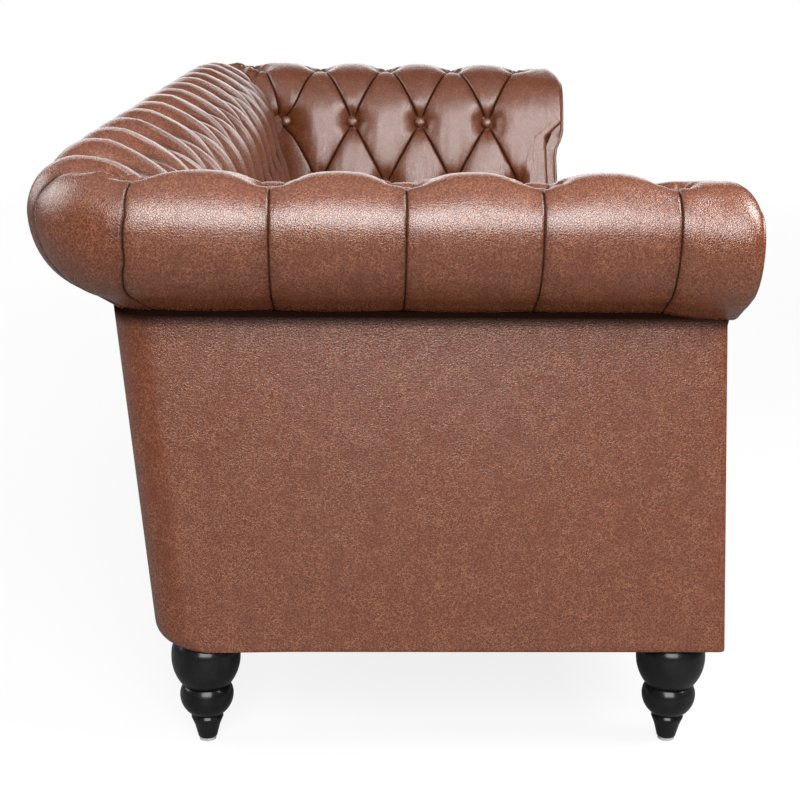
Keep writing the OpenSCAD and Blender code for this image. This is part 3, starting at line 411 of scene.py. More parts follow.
class Section:
    """The section of a roll and of the face below it: insets from the outside, heights and angles.

    Rows run from -1 at the lip under the roll over the crest, row 0 of the buttons, to row 1 and
    row 2 of the buttons on the inner face, and to 3 at the bottom behind the seat cushions.
    """

    def __init__(self, shape, buttoning, overhang):
        self.shape, self.overhang = shape, overhang
        self.crest = math.acos((buttoning.crest_inset - shape.shoulder_r) / shape.inner_r)
        self.face_top = (shape.shoulder_r + shape.inner_r * math.cos(shape.face_lean),
                         TOP_Z - shape.inner_r + shape.inner_r * math.sin(shape.face_lean))
        self.knee_z = DECK_Z + shape.knee_rise
        self.row_z = (TOP_Z - buttoning.row2_drop, self.knee_z + buttoning.row3_rise)
        self.bottom_z = DECK_Z + 0.003
        self.arc = shape.inner_r * (self.crest - shape.face_lean)
        below = (self.face_top[1] - self.row_z[0]) / math.cos(shape.face_lean)
        self.first_l = self.arc + below
        rows = np.linspace(-1, 3, 801)
        e, z, _ = self.at(rows)
        length = np.concatenate([[0], np.cumsum(np.hypot(np.diff(e), np.diff(z)))])
        self.rows, self.lengths = rows, length - np.interp(0, rows, length)

    def face_inset(self, z):
        """Inset of the inner face at a height: it leans down to the knee, and is upright below."""
        below_top = self.face_top[1] - np.maximum(z, self.knee_z)
        return self.face_top[0] + below_top * math.tan(self.shape.face_lean)

    def length(self, row):
        """Distance along the section from the crest buttons."""
        return np.interp(row, self.rows, self.lengths)

    def at(self, row):
        """Inset, height and outward angle at each row."""
        s = self.shape
        row = np.asarray(row, float)
        turn = np.radians(np.interp(row, (-0.85, -0.65, -0.5, -0.38, -0.26, -0.14, 0.0),
                                    (250, 222, 200, 180, 150, 120, math.degrees(self.crest))))
        run = np.clip(row, 0, 1) * self.first_l
        turn = np.where(row > 0, np.maximum(self.crest - run / s.inner_r, s.face_lean), turn)
        under = turn > math.pi
        inner = turn < math.pi / 2
        radius = np.where(under, s.under_r, np.where(inner, s.inner_r, s.shoulder_r))
        mid_e = np.where(under, s.under_r, s.shoulder_r)
        mid_z = np.where(inner, TOP_Z - s.inner_r, TOP_Z - s.shoulder_r)
        e, z = mid_e + radius * np.cos(turn), mid_z + radius * np.sin(turn)
        # The straight face below the arc, and the lip that turns in to the outer panel
        straight = run > self.arc
        face_z = np.where(row <= 1, self.face_top[1] - (run - self.arc) * math.cos(s.face_lean),
                          np.interp(row, (1, 2, 2.25, 3), (*self.row_z, self.knee_z, self.bottom_z)))
        e, z = np.where(straight, self.face_inset(face_z), e), np.where(straight, face_z, z)
        turn = np.where(row > 1, s.face_lean * (1 - smooth_step((row - 2.1) / 0.35)), turn)
        lip_row, lip_width = -0.85, 0.15
        lip = np.clip((lip_row - row) / lip_width, 0, 1)
        return (e + (self.overhang - e) * lip, z + (LIP_Z - z) * lip, turn + math.radians(5) * lip)


class Side:
    """One side of the sofa, an arm or half of the back, with the run of its buttons round the corner."""

    # The inset along which columns are spaced, a fold's width, the depth that no point passes, and the
    # height, radius and width of the ring of gathers round a pit
    CREST_E, FOLD_W, FLOOR = 0.072, 0.0014, -0.0285
    GATHER_H, GATHER_R, GATHER_W = 0.0014, 0.019, 0.015

    def __init__(self, section, end, start, first, pitch, corner_r, last, bend):
        self.section, self.end, self.start, self.first = section, end, start, first
        self.pitch, self.corner_r, self.last, self.bend = pitch, corner_r, last, bend
        self.zone_c = (start - first) / pitch
        self.mitre_c = self.zone_c + self.zone_l(self.CREST_E) / pitch
        self.is_back = first == 0
        self.pits = []

    def mirrored(self, rule, c, row):
        """A rule for columns, mirrored about the middle of the back."""
        return np.sign(c) * rule(np.abs(c), row) if self.is_back else rule(c, row)

    def placed(self, c, row):
        """Where a column lies: the last pleat, at column "last", bends away over the outside of the roll."""
        line = np.interp(row, *self.bend)
        bending = self.last - 1 + (c - self.last + 1) * (line - self.last + 1)
        return np.where(c <= self.last - 1, c, np.where(c <= self.last, bending, line + c - self.last))

    def phase(self, c, row):
        """Column number as the puffs count it. The last puff ends at the mitre, or is at its middle there."""
        line = np.interp(row, *self.bend)
        outer = 0.5 * (self.placed(c, row) - line) / np.maximum(self.mitre_c - line, 1e-3)
        inner = (c - self.last) / max(self.mitre_c - self.last, 0.33)
        over = smooth_step(-row / 0.12)
        beyond = outer * over + inner * (1 - over)
        return np.where(c > self.last, self.last + np.minimum(beyond, 1.0), c)

    def zone_l(self, e):
        """Length of the zone round the corner, from its start to the mitre, at an inset."""
        flat = np.minimum(self.end - self.corner_r, self.end - e) - self.start
        return flat + np.maximum(0, self.corner_r - e) * math.pi / 4 - FIT

    def place(self, c, e, row, row_e):
        """Distance along the side and inset of a point in column c whose inset is e."""
        c = self.placed(c, row)
        mid = row_e - 0.020
        line = self.CREST_E + (mid - self.CREST_E) * smooth_step(row / 0.3)
        stretch = np.where(c > self.zone_c, self.zone_l(e) / self.zone_l(line), 1)
        run = (c - self.zone_c) * self.pitch * stretch
        flat = np.minimum(self.end - self.corner_r, self.end - e) - self.start
        r = np.maximum(self.corner_r - e, 1e-4)
        bends = (run > flat) & (e < self.corner_r)
        turn = np.where(bends, np.minimum((run - flat) / r, math.radians(75)), 0)
        rest = np.where(bends, run - flat - turn * r, 0)
        along = np.where(bends, self.end - self.corner_r + r * np.sin(turn) + rest * np.cos(turn),
                         self.start + run)
        inset = np.where(bends, self.corner_r - r * np.cos(turn) + rest * np.sin(turn), e)
        return along, inset

    def height(self, c, row, b):
        """Height over the section, mostly below it: puffs, pleats, pits with gathers; and a value of painted
        shade in the pleats and round the pits.
        """
        phase, c = self.mirrored(self.phase, c, row), self.mirrored(self.placed, c, row)
        narrow = np.where((np.abs(c) > self.last) & (row > 0) & (not self.is_back), 0.6, 1.0)
        mid = np.clip(row, 0, 2)
        p, q = phase - mid / 2, phase + mid / 2
        front = (p < 0) & (q < 1) & (not self.is_back)
        sp = np.where(front, hill(-p), np.abs(np.sin(math.pi * p)))
        sq = np.where(front, hill(1 - q), np.abs(np.sin(math.pi * q)))
        gap_p = np.where(front, np.abs(p), np.abs(p - np.round(p)))
        gap_q = np.where(front, np.abs(1 - q), np.abs(q - np.round(q)))
        gap = np.minimum(gap_p, gap_q) * self.pitch * 0.92 * narrow ** 2
        over = smooth_step(-row / 0.25)
        power = (0.42 if self.is_back else 0.34) + over * 0.10
        puffs = (sp * sq) ** power
        depth = np.interp(row, (-1, -0.5, -0.3, -0.16, 0, 0.3, 2, 3),
                          (0.001, 0.0015, 0.0022, 0.006, 0.012, b.puff, b.puff, 0.004)) * narrow
        if self.is_back:
            # The back is fuller than the arms
            depth = depth * np.interp(row, (-0.6, -0.2, 0.3, 1), (1.8, 2.0, 1.9, 1.5))
        groove = np.interp(row, (-1, -0.3, 0, 0.3, 2, 3), (0.0012, 0.0016, 0.003, 0.004, 0.004, 0.001))
        fold_w = self.FOLD_W
        if self.is_back:
            groove, fold_w = groove * 1.6, self.FOLD_W + 0.0012 * smooth_step((row + 0.35) / 0.25)
        line = np.exp(-(gap / fold_w) ** 2)
        h = -depth * (1 - puffs) - groove * line
        # A fold laps over its neighbour at each pleat
        nearest_p = gap_p <= gap_q
        side = np.where(nearest_p, p - np.round(p), -(q - np.round(q)))
        side = np.where(front, -1.0, side)
        h = h + np.where(side > 0, 0.0009, -0.0003) * np.exp(-gap / 0.006) * (1 - line)
        # Painted shade along each pleat: dark in the fold, and fainter over a wider band beside it
        crease = np.maximum(0.95 * np.exp(-(gap / (fold_w * 0.9)) ** 2), 0.35 * np.exp(-gap / (fold_w * 4)))
        # On the back the painted shade reaches wider, most on the side where a fold laps over
        if self.is_back:
            shade_width = np.where(side > 0, 0.010, 0.004)
            crease = np.maximum(crease, 0.85 * np.exp(-(gap / shade_width) ** 2) * smooth_step((row + 0.5) / 0.3))
        # Pits with radial gathers, and painted shade round each pit
        run = self.section.length(row)
        pit, gather = np.zeros_like(c), np.zeros_like(c)
        for k, (pc, prow) in enumerate(self.pits):
            dx, dy = (c - pc) * self.pitch, run - self.section.length(prow)
            d = np.hypot(dx, dy)
            pit = np.maximum(pit, np.exp(-(d / b.pit_r) ** 2))
            turn = np.arctan2(dy, dx)
            folds = np.cos(turn * 7 + k * 1.7) + 0.6 * np.cos(turn * 11 - k * 2.3)
            folds = folds * np.exp(-((d - self.GATHER_R) / self.GATHER_W) ** 2) * np.clip(d / 0.010, 0, 1)
            gather += folds * (1.0 if prow else 1.5)
            crease = np.maximum(crease, 0.8 * np.exp(-(d / 0.013) ** 2))
        # Soft wrinkles that run down the inner face and over the crest
        flow = np.stack([c * self.pitch / 0.013, run / 0.075, np.full_like(c, 3.0 + self.last)], axis=-1)
        drift = np.array([noise.noise(Vector(v)) for v in flow.reshape(-1, 3)]).reshape(c.shape)
        soft = np.interp(row, (-0.6, -0.2, 0.2, 0.8, 2), (0.0, 0.00025, 0.0005, 0.0009, 0.0009))
        if self.is_back:
            soft = soft * 2.4
        h = h - b.pit_depth * pit + self.GATHER_H * gather + soft * (drift - 0.4)
        # Near the floor of the pits the depth levels off
        knee = 0.004
        level = self.FLOOR + knee * np.exp(np.minimum(0, (h - self.FLOOR - knee) / knee))
        return np.where(h < self.FLOOR + knee, level, h), crease


def lattice(first_c, last_c, per_pitch):
    """Columns and rows whose grid lines run along the pleats, drawn together near them."""
    def drawn(t):
        return t - 0.78 * np.sin(2 * math.pi * t) / (2 * math.pi)
    j = np.arange(math.floor(first_c * per_pitch), math.ceil(last_c * per_pitch) + 1)
    over = np.array([-1, -0.96, -0.9, *np.linspace(-0.85, -0.38, 15), *np.linspace(-0.365, -0.02, 26)])
    i = np.arange(0, per_pitch + 1)
    low = 2 + 1.0 * np.linspace(0, 1, 15)[1:] ** 1.1
    columns = np.broadcast_to(drawn(j / per_pitch)[:, None], (len(j), len(over)))
    m, n = (j[:, None] - i[None, :]) / per_pitch, (j[:, None] + i[None, :]) / per_pitch
    mid_c, mid_row = (drawn(m) + drawn(n)) / 2, drawn(n) - drawn(m)
    tail = np.broadcast_to(drawn(j / per_pitch)[:, None], (len(j), len(low)))
    c = np.concatenate([columns, mid_c, tail], axis=1)
    row = np.concatenate([np.broadcast_to(over, (len(j), len(over))), mid_row,
                          np.broadcast_to(low, (len(j), len(low)))], axis=1)
    return j, c, row, len(over)


def hidden_chain(section):
    """Inset and height of the points of a pad's hidden side, from its bottom back to its lip."""
    board_e = section.face_inset(section.knee_z) - 0.045
    cavity_e, cavity_top = section.overhang + CAVITY_IN, TOP_Z - 0.055
    rail_e, rail_z = 0.045, LIP_Z + 0.052
    return [(board_e, section.bottom_z), (board_e, section.knee_z), (0.150, cavity_top),
            (rail_e, cavity_top), (rail_e, rail_z), (cavity_e, rail_z), (cavity_e, LIP_Z)]


def add_grid(bm, columns, rows):
    """Adds a flat grid to an empty bmesh, and gives each vertex with its column and row."""
    bmesh.ops.create_grid(bm, x_segments=columns - 1, y_segments=rows - 1, size=1.0)
    return [(v, round((v.co.x + 1) / 2 * (columns - 1)), round((v.co.y + 1) / 2 * (rows - 1)))
            for v in bm.verts]


def grid_mesh(points, extra):
    """A grid bmesh with its vertices at points[column, row], and their values of painted shade."""
    columns, rows = points.shape[:2]
    bm = bmesh.new()
    layer = bm.verts.layers.float.new("crease")
    for v, j, i in add_grid(bm, columns, rows):
        v[layer] = extra[j, i]
        v.index = j * rows + i
        v.co = points[j, i]
    return bm


def split_on_pleats(bm, j0, over, per_pitch, rows):
    """Cuts the quads that a pleat crosses along that pleat."""
    first, second = [], []
    for face in bm.faces:
        low = min(v.index for v in face.verts)
        j, i = divmod(low, rows)
        i -= over
        if 0 <= i < per_pitch:
            corner = [v.index for v in face.verts].index(low)
            if (j + j0 - i) % per_pitch == 0:
                (first if corner % 2 == 0 else second).append(face)
            elif (j + j0 + i + 1) % per_pitch == 0:
                (second if corner % 2 == 0 else first).append(face)
    bmesh.ops.triangulate(bm, faces=first, quad_method="FIXED")
    bmesh.ops.triangulate(bm, faces=second, quad_method="ALTERNATE")


def cut_mitre(bm, point, normal):
    """Cuts off what lies beyond the plane where an arm meets the back."""
    bmesh.ops.bisect_plane(bm, geom=[*bm.verts, *bm.edges, *bm.faces], plane_co=point, plane_no=normal,
                           clear_outer=True)


def close_pad(bm):
    """Joins the lip's two edges, fills the ends and turns the faces outwards."""
    bmesh.ops.remove_doubles(bm, verts=bm.verts, dist=2e-6)
    open_edges = [e for e in bm.edges if e.is_boundary]
    caps = bmesh.ops.holes_fill(bm, edges=open_edges, sides=0)["faces"]
    for face in caps:
        for edge in face.edges:
            edge.smooth = False
    bmesh.ops.recalc_face_normals(bm, faces=bm.faces)


def arm_side(shape, b):
    """An arm: its buttons' columns count from the front, and the last are spaced round the corner."""
    first = FRONT_Y + b.arm_first
    start = first + 3 * b.arm_pitch
    side = Side(Section(shape, b, ARM_OVERHANG), REAR_Y, start, first, b.arm_pitch, shape.corner_r, 4,
                ((-1, -0.7, -0.5, -0.3, -0.14, 0), (4.06, 3.95, 3.84, 3.82, 3.88, 3.97)))
    corner = side.zone_l(b.crest_inset) / b.arm_pitch
    side.pits = [(0, 0), (1, 0), (2, 0), (3, 0), (3 + 0.75 * corner, 0), (3 + corner, 0),
                 (0.5, 1), (1.5, 1), (2.5, 1), (3.5, 1), (0, 2), (1, 2), (2, 2), (3, 2)]
    return side


def back_side(shape, b):
    """Half of the back: columns count from the middle, and the other half mirrors them."""
    start = 5 * b.back_pitch
    side = Side(Section(shape, b, BACK_OVERHANG), HALF_W, start, 0.0, b.back_pitch, shape.corner_r, 7,
                ((-1, -0.7, -0.5, -0.26, -0.14, -0.03, 0), (6.92, 6.86, 6.75, 6.70, 6.75, 6.92, 6.99)))
    corner = side.zone_l(b.crest_inset) / b.back_pitch
    half = [*((i, 0) for i in range(1, 7)), (5 + corner, 0), *((i + 0.5, 1) for i in range(6)),
            *((i, 2) for i in range(1, 6))]
    side.pits = [(0, 0), (0, 2), *half, *((-c, row) for c, row in half)]
    return side


def mitre_crease(along, inset, end, row):
    """Depth of the dent between an arm and the back, from the distance to the mitre."""
    reach, depth = 0.085, 0.036
    gap = np.clip(1 - (end - along - inset) / reach, 0, 1)
    return depth * np.clip(row, 0, 1) * gap ** 2


def crest_crown(b, row):
    """Extra fullness at the crest."""
    return b.back_crown * np.exp(-((row + 0.12) / 0.22) ** 2)


def closed_rows(skin, hidden):
    """The rows of a pad's skin and hidden side, closed round with the first row."""
    return np.concatenate([skin, hidden, skin[:, :1]], axis=1)


def soften(points, skin_rows, seeds):
    """Makes a pad's skin softly uneven, and closes its rows again."""
    flat = points.reshape(-1, 3)
    soft = 0.0008 * wander(flat, 0.07, seeds[0]) + 0.0003 * wander(flat, 0.02, seeds[1])
    points[:, :skin_rows, 2] += soft.reshape(points.shape[:2])[:, :skin_rows] - 0.0004
    points[:, -1] = points[:, 0]


def front_at(shape, z):
    """How far the leaning front stands back at a height, from where it is at the lip."""
    return (z - LIP_Z) * math.tan(shape.front_lean)


def rear_at(shape, z):
    """The same for the leaning rear."""
    return (z - LIP_Z) * math.tan(shape.rear_lean)


def lip_front_y(shape):
    """Where the leaning front lies at the lip's height."""
    return FRONT_Y - (BASE_Z - LIP_Z) * math.tan(shape.front_lean)


def front_line(shape, section, e, z):
    """Where the front of an arm pad lies at an inset and height: behind its facing below the roll."""
    facing_y = lip_front_y(shape) + 0.022
    wedge_z = LIP_Z + 0.018
    up = np.clip((z - wedge_z) / (section.row_z[0] - wedge_z), 0, 1)
    k = np.where(e <= ARM_OVERHANG + CAVITY_IN, 1, up)
    return (facing_y + front_at(shape, z) + FIT) * (1 - k) + PAD_FRONT_Y * k


def front_inset(shape, row):
    """How far the front rim of a roll is rounded: most at its crest."""
    return shape.front_round + shape.front_round_top * np.exp(-(row / 0.27) ** 2)


def arm_points(side, c, row, b, shape):
    """Points of the outer skin of an arm pad, as x inset from the outside, y and z, and values of painted
    shade.
    """
    e, z, turn = side.section.at(row)
    h, crease = side.height(c, row, b)
    # The crest swells towards the corner, to meet the back's
    h = h + crest_crown(b, row) * 0.42 * smooth_step((c - 3.3) / 0.95)
    y_front = front_line(shape, side.section, e, z)
    steps = np.array([0.0, 0.0004, 0.0016, 0.0035, 0.006, 0.009, 0.0125, 0.017])
    left = c[FRONT_STEPS:FRONT_STEPS + 1, :]
    flat_y = y_front[FRONT_STEPS:FRONT_STEPS + 1, :] + steps[-1] + 0.004
    y_at = np.where(c < 0, flat_y + (side.first - flat_y) * (1 - c / left), side.first + c * b.arm_pitch)
    y_at[:FRONT_STEPS, :] = y_front[:FRONT_STEPS, :] + steps[:FRONT_STEPS, None]
    rim = front_inset(shape, row)
    ahead = np.clip(1 - (y_at - y_front) / rim, 0, 1)
    sink = np.where(c < 0.2, rim * (1 - np.sqrt(np.maximum(0, 1 - ahead ** 2))), 0)
    e0, z0 = e + h * np.cos(turn), z + h * np.sin(turn)
    along, inset = side.place(c, e0, row, e)
    dent = mitre_crease(along, inset, side.end, row)
    e1, z1 = e0 - (sink + dent) * np.cos(turn), z0 - (sink + dent) * np.sin(turn)
    along, inset = side.place(c, e1, row, e)
    along = np.where(c < 0, y_at, along)
    droop = shape.front_droop * smooth_step((0.1 - c) / 0.55) * smooth_step((z1 - LIP_Z + 0.03) / 0.03)
    droop = droop * (1 - smooth_step((row - 0.2) / 0.5))
    return np.stack([inset, along, z1 - droop], axis=-1), crease


def chain_points(side, c, shape, is_arm):
    """Points of a pad's hidden side, for each column."""
    out = []
    for e, z in hidden_chain(side.section):
        ee, zz = np.full(len(c), e), np.full(len(c), z)
        along, inset = side.place(c, ee, np.zeros(len(c)), ee)
        if is_arm:
            y_front = front_line(shape, side.section, ee, zz)
            along = np.where(c < 0, y_front + (side.first - y_front) * (1 - c / c[0]), along)
        out.append(np.stack([inset, along, zz], axis=-1))
    return np.stack(out, axis=1)


def make_arm_pad(name, sign, shape, b, material):
    side = arm_side(shape, b)
    j, c, row, over = lattice(-0.54, 4.75, PER_ARM)
    c = np.concatenate([np.repeat(c[:1], FRONT_STEPS, axis=0) - 1e-4, c])
    row = np.concatenate([np.repeat(row[:1], FRONT_STEPS, axis=0), row])
    skin, crease = arm_points(side, c, row, b, shape)
    base_c = np.concatenate([np.linspace(-0.58, -0.56, FRONT_STEPS), c[FRONT_STEPS:, 0]])
    hidden = chain_points(side, base_c, shape, True)
    points = closed_rows(skin, hidden)
    extra = closed_rows(crease, np.zeros(hidden.shape[:2]))
    points[..., 0] = HALF_W - points[..., 0]
    soften(points, skin.shape[1], (1 + sign, 3 + sign))
    bm = grid_mesh(points, extra)
    split_on_pleats(bm, j[0] - FRONT_STEPS, over, PER_ARM, points.shape[1])
    cut_mitre(bm, (HALF_W - shape.corner_r, REAR_Y - shape.corner_r - MITRE_GAP, 0), (-1, 1, 0))
    close_pad(bm)
    if sign < 0:
        bmesh.ops.mirror(bm, geom=[*bm.verts, *bm.edges, *bm.faces], merge_dist=0, axis="X")
        near = [v for v in bm.verts if v.co.x > 0]
        bmesh.ops.delete(bm, geom=near, context="VERTS")
        bmesh.ops.recalc_face_normals(bm, faces=bm.faces)
    piece = finish_piece(name, bm, material)
    return piece


def make_back_pad(shape, b, material):
    side = back_side(shape, b)
    j, c, row, over = lattice(-7.45, 7.45, PER_BACK)
    e, z, turn = side.section.at(row)
    h, crease = side.height(c, row, b)
    # The crest's fullness falls towards the corners, to meet the arms'
    h = h + crest_crown(b, row) * (1 - 0.58 * smooth_step((np.abs(c) - 5.2) / 1.7))
    e0 = e + h * np.cos(turn)
    along, inset = side.place(np.abs(c), e0, row, e)
    dent = mitre_crease(along, inset, side.end, row)
    e1, z1 = e0 - dent * np.cos(turn), z + (h - dent) * np.sin(turn)
    along, inset = side.place(np.abs(c), e1, row, e)
    skin = np.stack([along * np.sign(c), REAR_Y - inset, z1], axis=-1)
    hidden = chain_points(side, np.abs(c[:, 0]), shape, False)
    hidden = np.stack([hidden[..., 1] * np.sign(c[:, :1]), REAR_Y - hidden[..., 0], hidden[..., 2]], axis=-1)
    points = closed_rows(skin, hidden)
    extra = closed_rows(crease, np.zeros(hidden.shape[:2]))
    soften(points, skin.shape[1], (5, 6))
    bm = grid_mesh(points, extra)
    split_on_pleats(bm, j[0], over, PER_BACK, points.shape[1])
    for sign in (1, -1):
        corner = (sign * (HALF_W - shape.corner_r - MITRE_GAP), REAR_Y - shape.corner_r, 0)
        cut_mitre(bm, corner, (sign, -1, 0))
    close_pad(bm)
    piece = finish_piece("back_roll", bm, material)
    return piece


def add_button(bm, place, normal, radius, turn):
    """Adds a covered button: a low dome with a tucked rim and faint gathers."""
    gathers, gather_h, dome, underside = 9, 0.018, 0.60, 0.35
    made = bmesh.ops.create_uvsphere(bm, u_segments=28, v_segments=14, radius=radius)["verts"]
    for v in made:
        out = math.hypot(v.co.x, v.co.y) / radius
        ray = math.atan2(v.co.y, v.co.x)
        gather = 1 + gather_h * math.cos(gathers * ray + turn) * out ** 3
        v.co.x *= gather
        v.co.y *= gather
        v.co.z *= dome if v.co.z > 0 else underside
    lay = Matrix.Translation(place) @ Vector((0, 0, 1)).rotation_difference(normal).to_matrix().to_4x4()
    bmesh.ops.transform(bm, matrix=lay, verts=made)


def button_spot(side, c, row):
    """Distance along a side, inset, height, outward angle and turn in plan of a button's head."""
    e, z, turn = (float(v) for v in side.section.at(np.array(row, float)))
    at_corner = abs(c) > 6.5
    depth = 0.0220 if at_corner else 0.0200 if row else 0.0250
    e1, z1 = e - depth * math.cos(turn), z - depth * math.sin(turn)
    along, inset = (float(v) for v in side.place(np.array(abs(c)), np.array(e1), np.array(float(row)),
                                                 np.array(e)))
    bend = max(0.0, along - (side.end - side.corner_r)) / max(side.corner_r - inset, 0.02) \
        if inset < side.corner_r else 0.0
    return along, inset, z1, turn, min(bend, 0.8)


def make_arm_buttons(name, sign, shape, b, material):
    side = arm_side(shape, b)
    bm = bmesh.new()
    for c, row in side.pits:
        if c > side.last + 0.1:
            # The button at the corner is one of the back's
            continue
        along, inset, z, turn, bend = button_spot(side, c, row)
        flat = Matrix.Rotation(bend, 3, "Z") @ Vector((-math.cos(turn), 0, math.sin(turn)))
        place = Vector((HALF_W - inset, along, z))
        if sign < 0:
            place.x, flat.x = -place.x, -flat.x
        add_button(bm, place, flat, b.button_r, c * 5 + row)
    return finish_piece(name, bm, material)


def make_back_buttons(name, row, shape, b, material):
    side = back_side(shape, b)
    bm = bmesh.new()
    for c, pit_row in side.pits:
        if pit_row != row:
            continue
        along, inset, z, turn, bend = button_spot(side, c, row)
        flat = Matrix.Rotation(-bend, 3, "Z") @ Vector((0, -math.cos(turn), math.sin(turn)))
        place = Vector((along, REAR_Y - inset, z))
        if c < 0:
            place.x, flat.x = -place.x, -flat.x
        add_button(bm, place, flat, b.button_r, c * 3 + row)
    return finish_piece(name, bm, material)


# Outer panels and arm fronts
def panel_path(shape):
    """Plan of a side cover at the lip: from the arm's front, along the side and round the rear corner."""
    front_lip = lip_front_y(shape)
    edge_r, wrap = 0.008, 0.020
    path = [(SIDE_X - wrap, front_lip, 0.0)]
    for k in range(7):
        a = math.radians(15 * k)
        path.append((SIDE_X - edge_r + edge_r * math.sin(a), front_lip + edge_r - edge_r * math.cos(a), 0.0))
    rear = REAR_LIP_Y - shape.body_corner_r
    for k in range(1, 41):
        t = k / 41
        path.append((SIDE_X, front_lip + edge_r + (rear - front_lip - edge_r) * t, t))
    for k in range(19):
        a = math.radians(5 * k)
        path.append((SIDE_X - shape.body_corner_r * (1 - math.cos(a)),
                     rear + shape.body_corner_r * math.sin(a), 1.0))
    path.append((SEAM_X + COVER_GAP, REAR_LIP_Y, 1.0))
    return path


def heel_inset(radius, z):
    """How far a rounded lower edge draws in at a height."""
    up = np.clip(1 - (z - BASE_Z) / radius, 0, 1)
    return radius * (1 - math.sqrt(max(0.0, 1 - up ** 2)))


def cover_heights():
    """Heights of a cover's rows, close together at its rounded foot and at the lip."""
    foot = (0, 0.001, 0.003, 0.006, 0.010, 0.015, 0.021, 0.028, 0.036, 0.045)
    return [*(BASE_Z + COVER_GAP + h for h in foot), *np.linspace(BASE_Z + 0.06, LIP_Z - 0.03, 22),
            *(LIP_Z - h for h in (0.022, 0.016, 0.011, 0.007, 0.003, FIT))]


def thicken(bm, axis, sign, thickness):
    """Turns a grid's faces outwards along an axis, and gives it a thickness behind them."""
    bmesh.ops.recalc_face_normals(bm, faces=bm.faces)
    if sum(f.normal[axis] * sign for f in bm.faces) < 0:
        bmesh.ops.reverse_faces(bm, faces=bm.faces)
    bmesh.ops.solidify(bm, geom=bm.faces, thickness=thickness)
    bmesh.ops.recalc_face_normals(bm, faces=bm.faces)


def make_side_cover(name, sign, shape, material):
    path, heights = panel_path(shape), cover_heights()
    points = np.zeros((len(path), len(heights), 3))
    for j, (x, y, t) in enumerate(path):
        back = smooth_step((t - 0.80) / 0.2)
        for i, z in enumerate(heights):
            lean = front_at(shape, z) * (1 - t) + rear_at(shape, z) * t
            soft = heel_inset(0.005, z) * (1 - back)
            heel = heel_inset(shape.heel_r, z) * back
            rise = math.sin(math.pi * (z - BASE_Z) / (LIP_Z - BASE_Z))
            crown = 0.004 * math.sin(math.pi * t) * rise if 0 < t < 1 else 0.0
            points[j, i] = (x - soft + crown, y - heel + lean, z)
    bm = bmesh.new()
    for v, j, i in add_grid(bm, len(path), len(heights)):
        v.co = points[j, i] * (sign, 1, 1)
    thicken(bm, 0, sign, COVER_T)
    paint_shade_under_lip(bm)
    return finish_piece(name, bm, material, sharp=math.radians(40))


def make_back_cover(shape, material):
    heights = cover_heights()
    bm = bmesh.new()
    for v, _, i in add_grid(bm, 49, len(heights)):
        x, z = v.co.x, heights[i]
        crown = 0.003 * math.cos(math.pi / 2 * x) * math.sin(math.pi * (z - BASE_Z) / (LIP_Z - BASE_Z))
        y = REAR_LIP_Y + rear_at(shape, z) - heel_inset(shape.heel_r, z) + crown
        v.co = (x * (SEAM_X - COVER_GAP), y, z)
    thicken(bm, 1, 1, COVER_T)
    paint_shade_under_lip(bm)
    return finish_piece("back_cover", bm, material, sharp=math.radians(40))


def scroll_outline(section, inset):
    """The outline of an arm's front in x and z: the roll, and the column below it down to the base."""
    rows = [*np.linspace(-0.82, 0.0, 26), *np.linspace(0.05, 1.0, 20)]
    e, z, turn = section.at(np.array(rows))
    rim = inset + front_inset(section.shape, np.array(rows)) - section.shape.front_round
    drop = section.shape.front_droop * (1 - smooth_step((np.array(rows) - 0.2) / 0.5))
    pts = list(zip(e - rim * np.cos(turn), z - rim * np.sin(turn) - drop))
    for h in np.linspace(section.row_z[0] - 0.02, BASE_Z + 0.004, 24):
        near = float(smooth_step((h - DECK_Z) / 0.15))
        pts.append((section.face_inset(h) - 0.002 - (inset - 0.002) * near, h))
    outer = ARM_OVERHANG + CAVITY_IN
    pts += [(outer + 0.10, BASE_Z + 0.004), (outer + 0.05, BASE_Z + 0.004)]
    pts += [(outer, h) for h in np.linspace(BASE_Z + 0.004, LIP_Z - 0.004, 24)]
    return [(HALF_W - e, z) for e, z in pts]


def arm_front_y(shape, z):
    """Where the seam of an arm's front lies: on the pad's front above, and on the column below."""
    slope = float(smooth_step((LIP_Z + 0.030 - z) / 0.055))
    column = lip_front_y(shape) + front_at(shape, z) + 0.0045
    return (PAD_FRONT_Y + 0.0010) * (1 - slope) + column * slope


def make_arm_front(name, sign, shape, b, material):
    """The facing of an arm: a softly domed scroll with its column, edged with a welt."""
    edge_inset, thick, thicker_below = 0.0105, 0.006, 0.018
    outline = scroll_outline(Section(shape, b, ARM_OVERHANG), edge_inset)
    bm = bmesh.new()
    face = bm.faces.new([bm.verts.new((x * sign, 0, z)) for x, z in outline])
    face.normal_update()
    if face.normal.y > 0:
        face.normal_flip()
    made = bmesh.ops.extrude_face_region(bm, geom=[face])["geom"]
    front = next(g for g in made if isinstance(g, bmesh.types.BMFace))
    for v in face.verts:
        v.co.y += thick + thicker_below * float(smooth_step((LIP_Z + 0.07 - v.co.z) / 0.05))
    # Three insets of the front dome it softly
    for width, rise in ((0.002, 0.0018), (0.003, 0.0018), (0.005, 0.0014)):
        bmesh.ops.inset_individual(bm, faces=[front], thickness=width, depth=rise, use_even_offset=True)
    # Cuts across it let it follow the lean of the seam
    for height in np.linspace(BASE_Z, LIP_Z + 0.09, 30)[1:]:
        bmesh.ops.bisect_plane(bm, geom=[*bm.verts, *bm.edges, *bm.faces], plane_co=(0, 0, height),
                               plane_no=(0, 0, 1))
    for v in bm.verts:
        v.co.y += arm_front_y(shape, v.co.z)
    welt(bm, [(x * sign, arm_front_y(shape, z) - 0.0006, z) for x, z in outline], b.welt_r, closed=True)
    bmesh.ops.recalc_face_normals(bm, faces=bm.faces)
    return finish_piece(name, bm, material, sharp=math.radians(50))


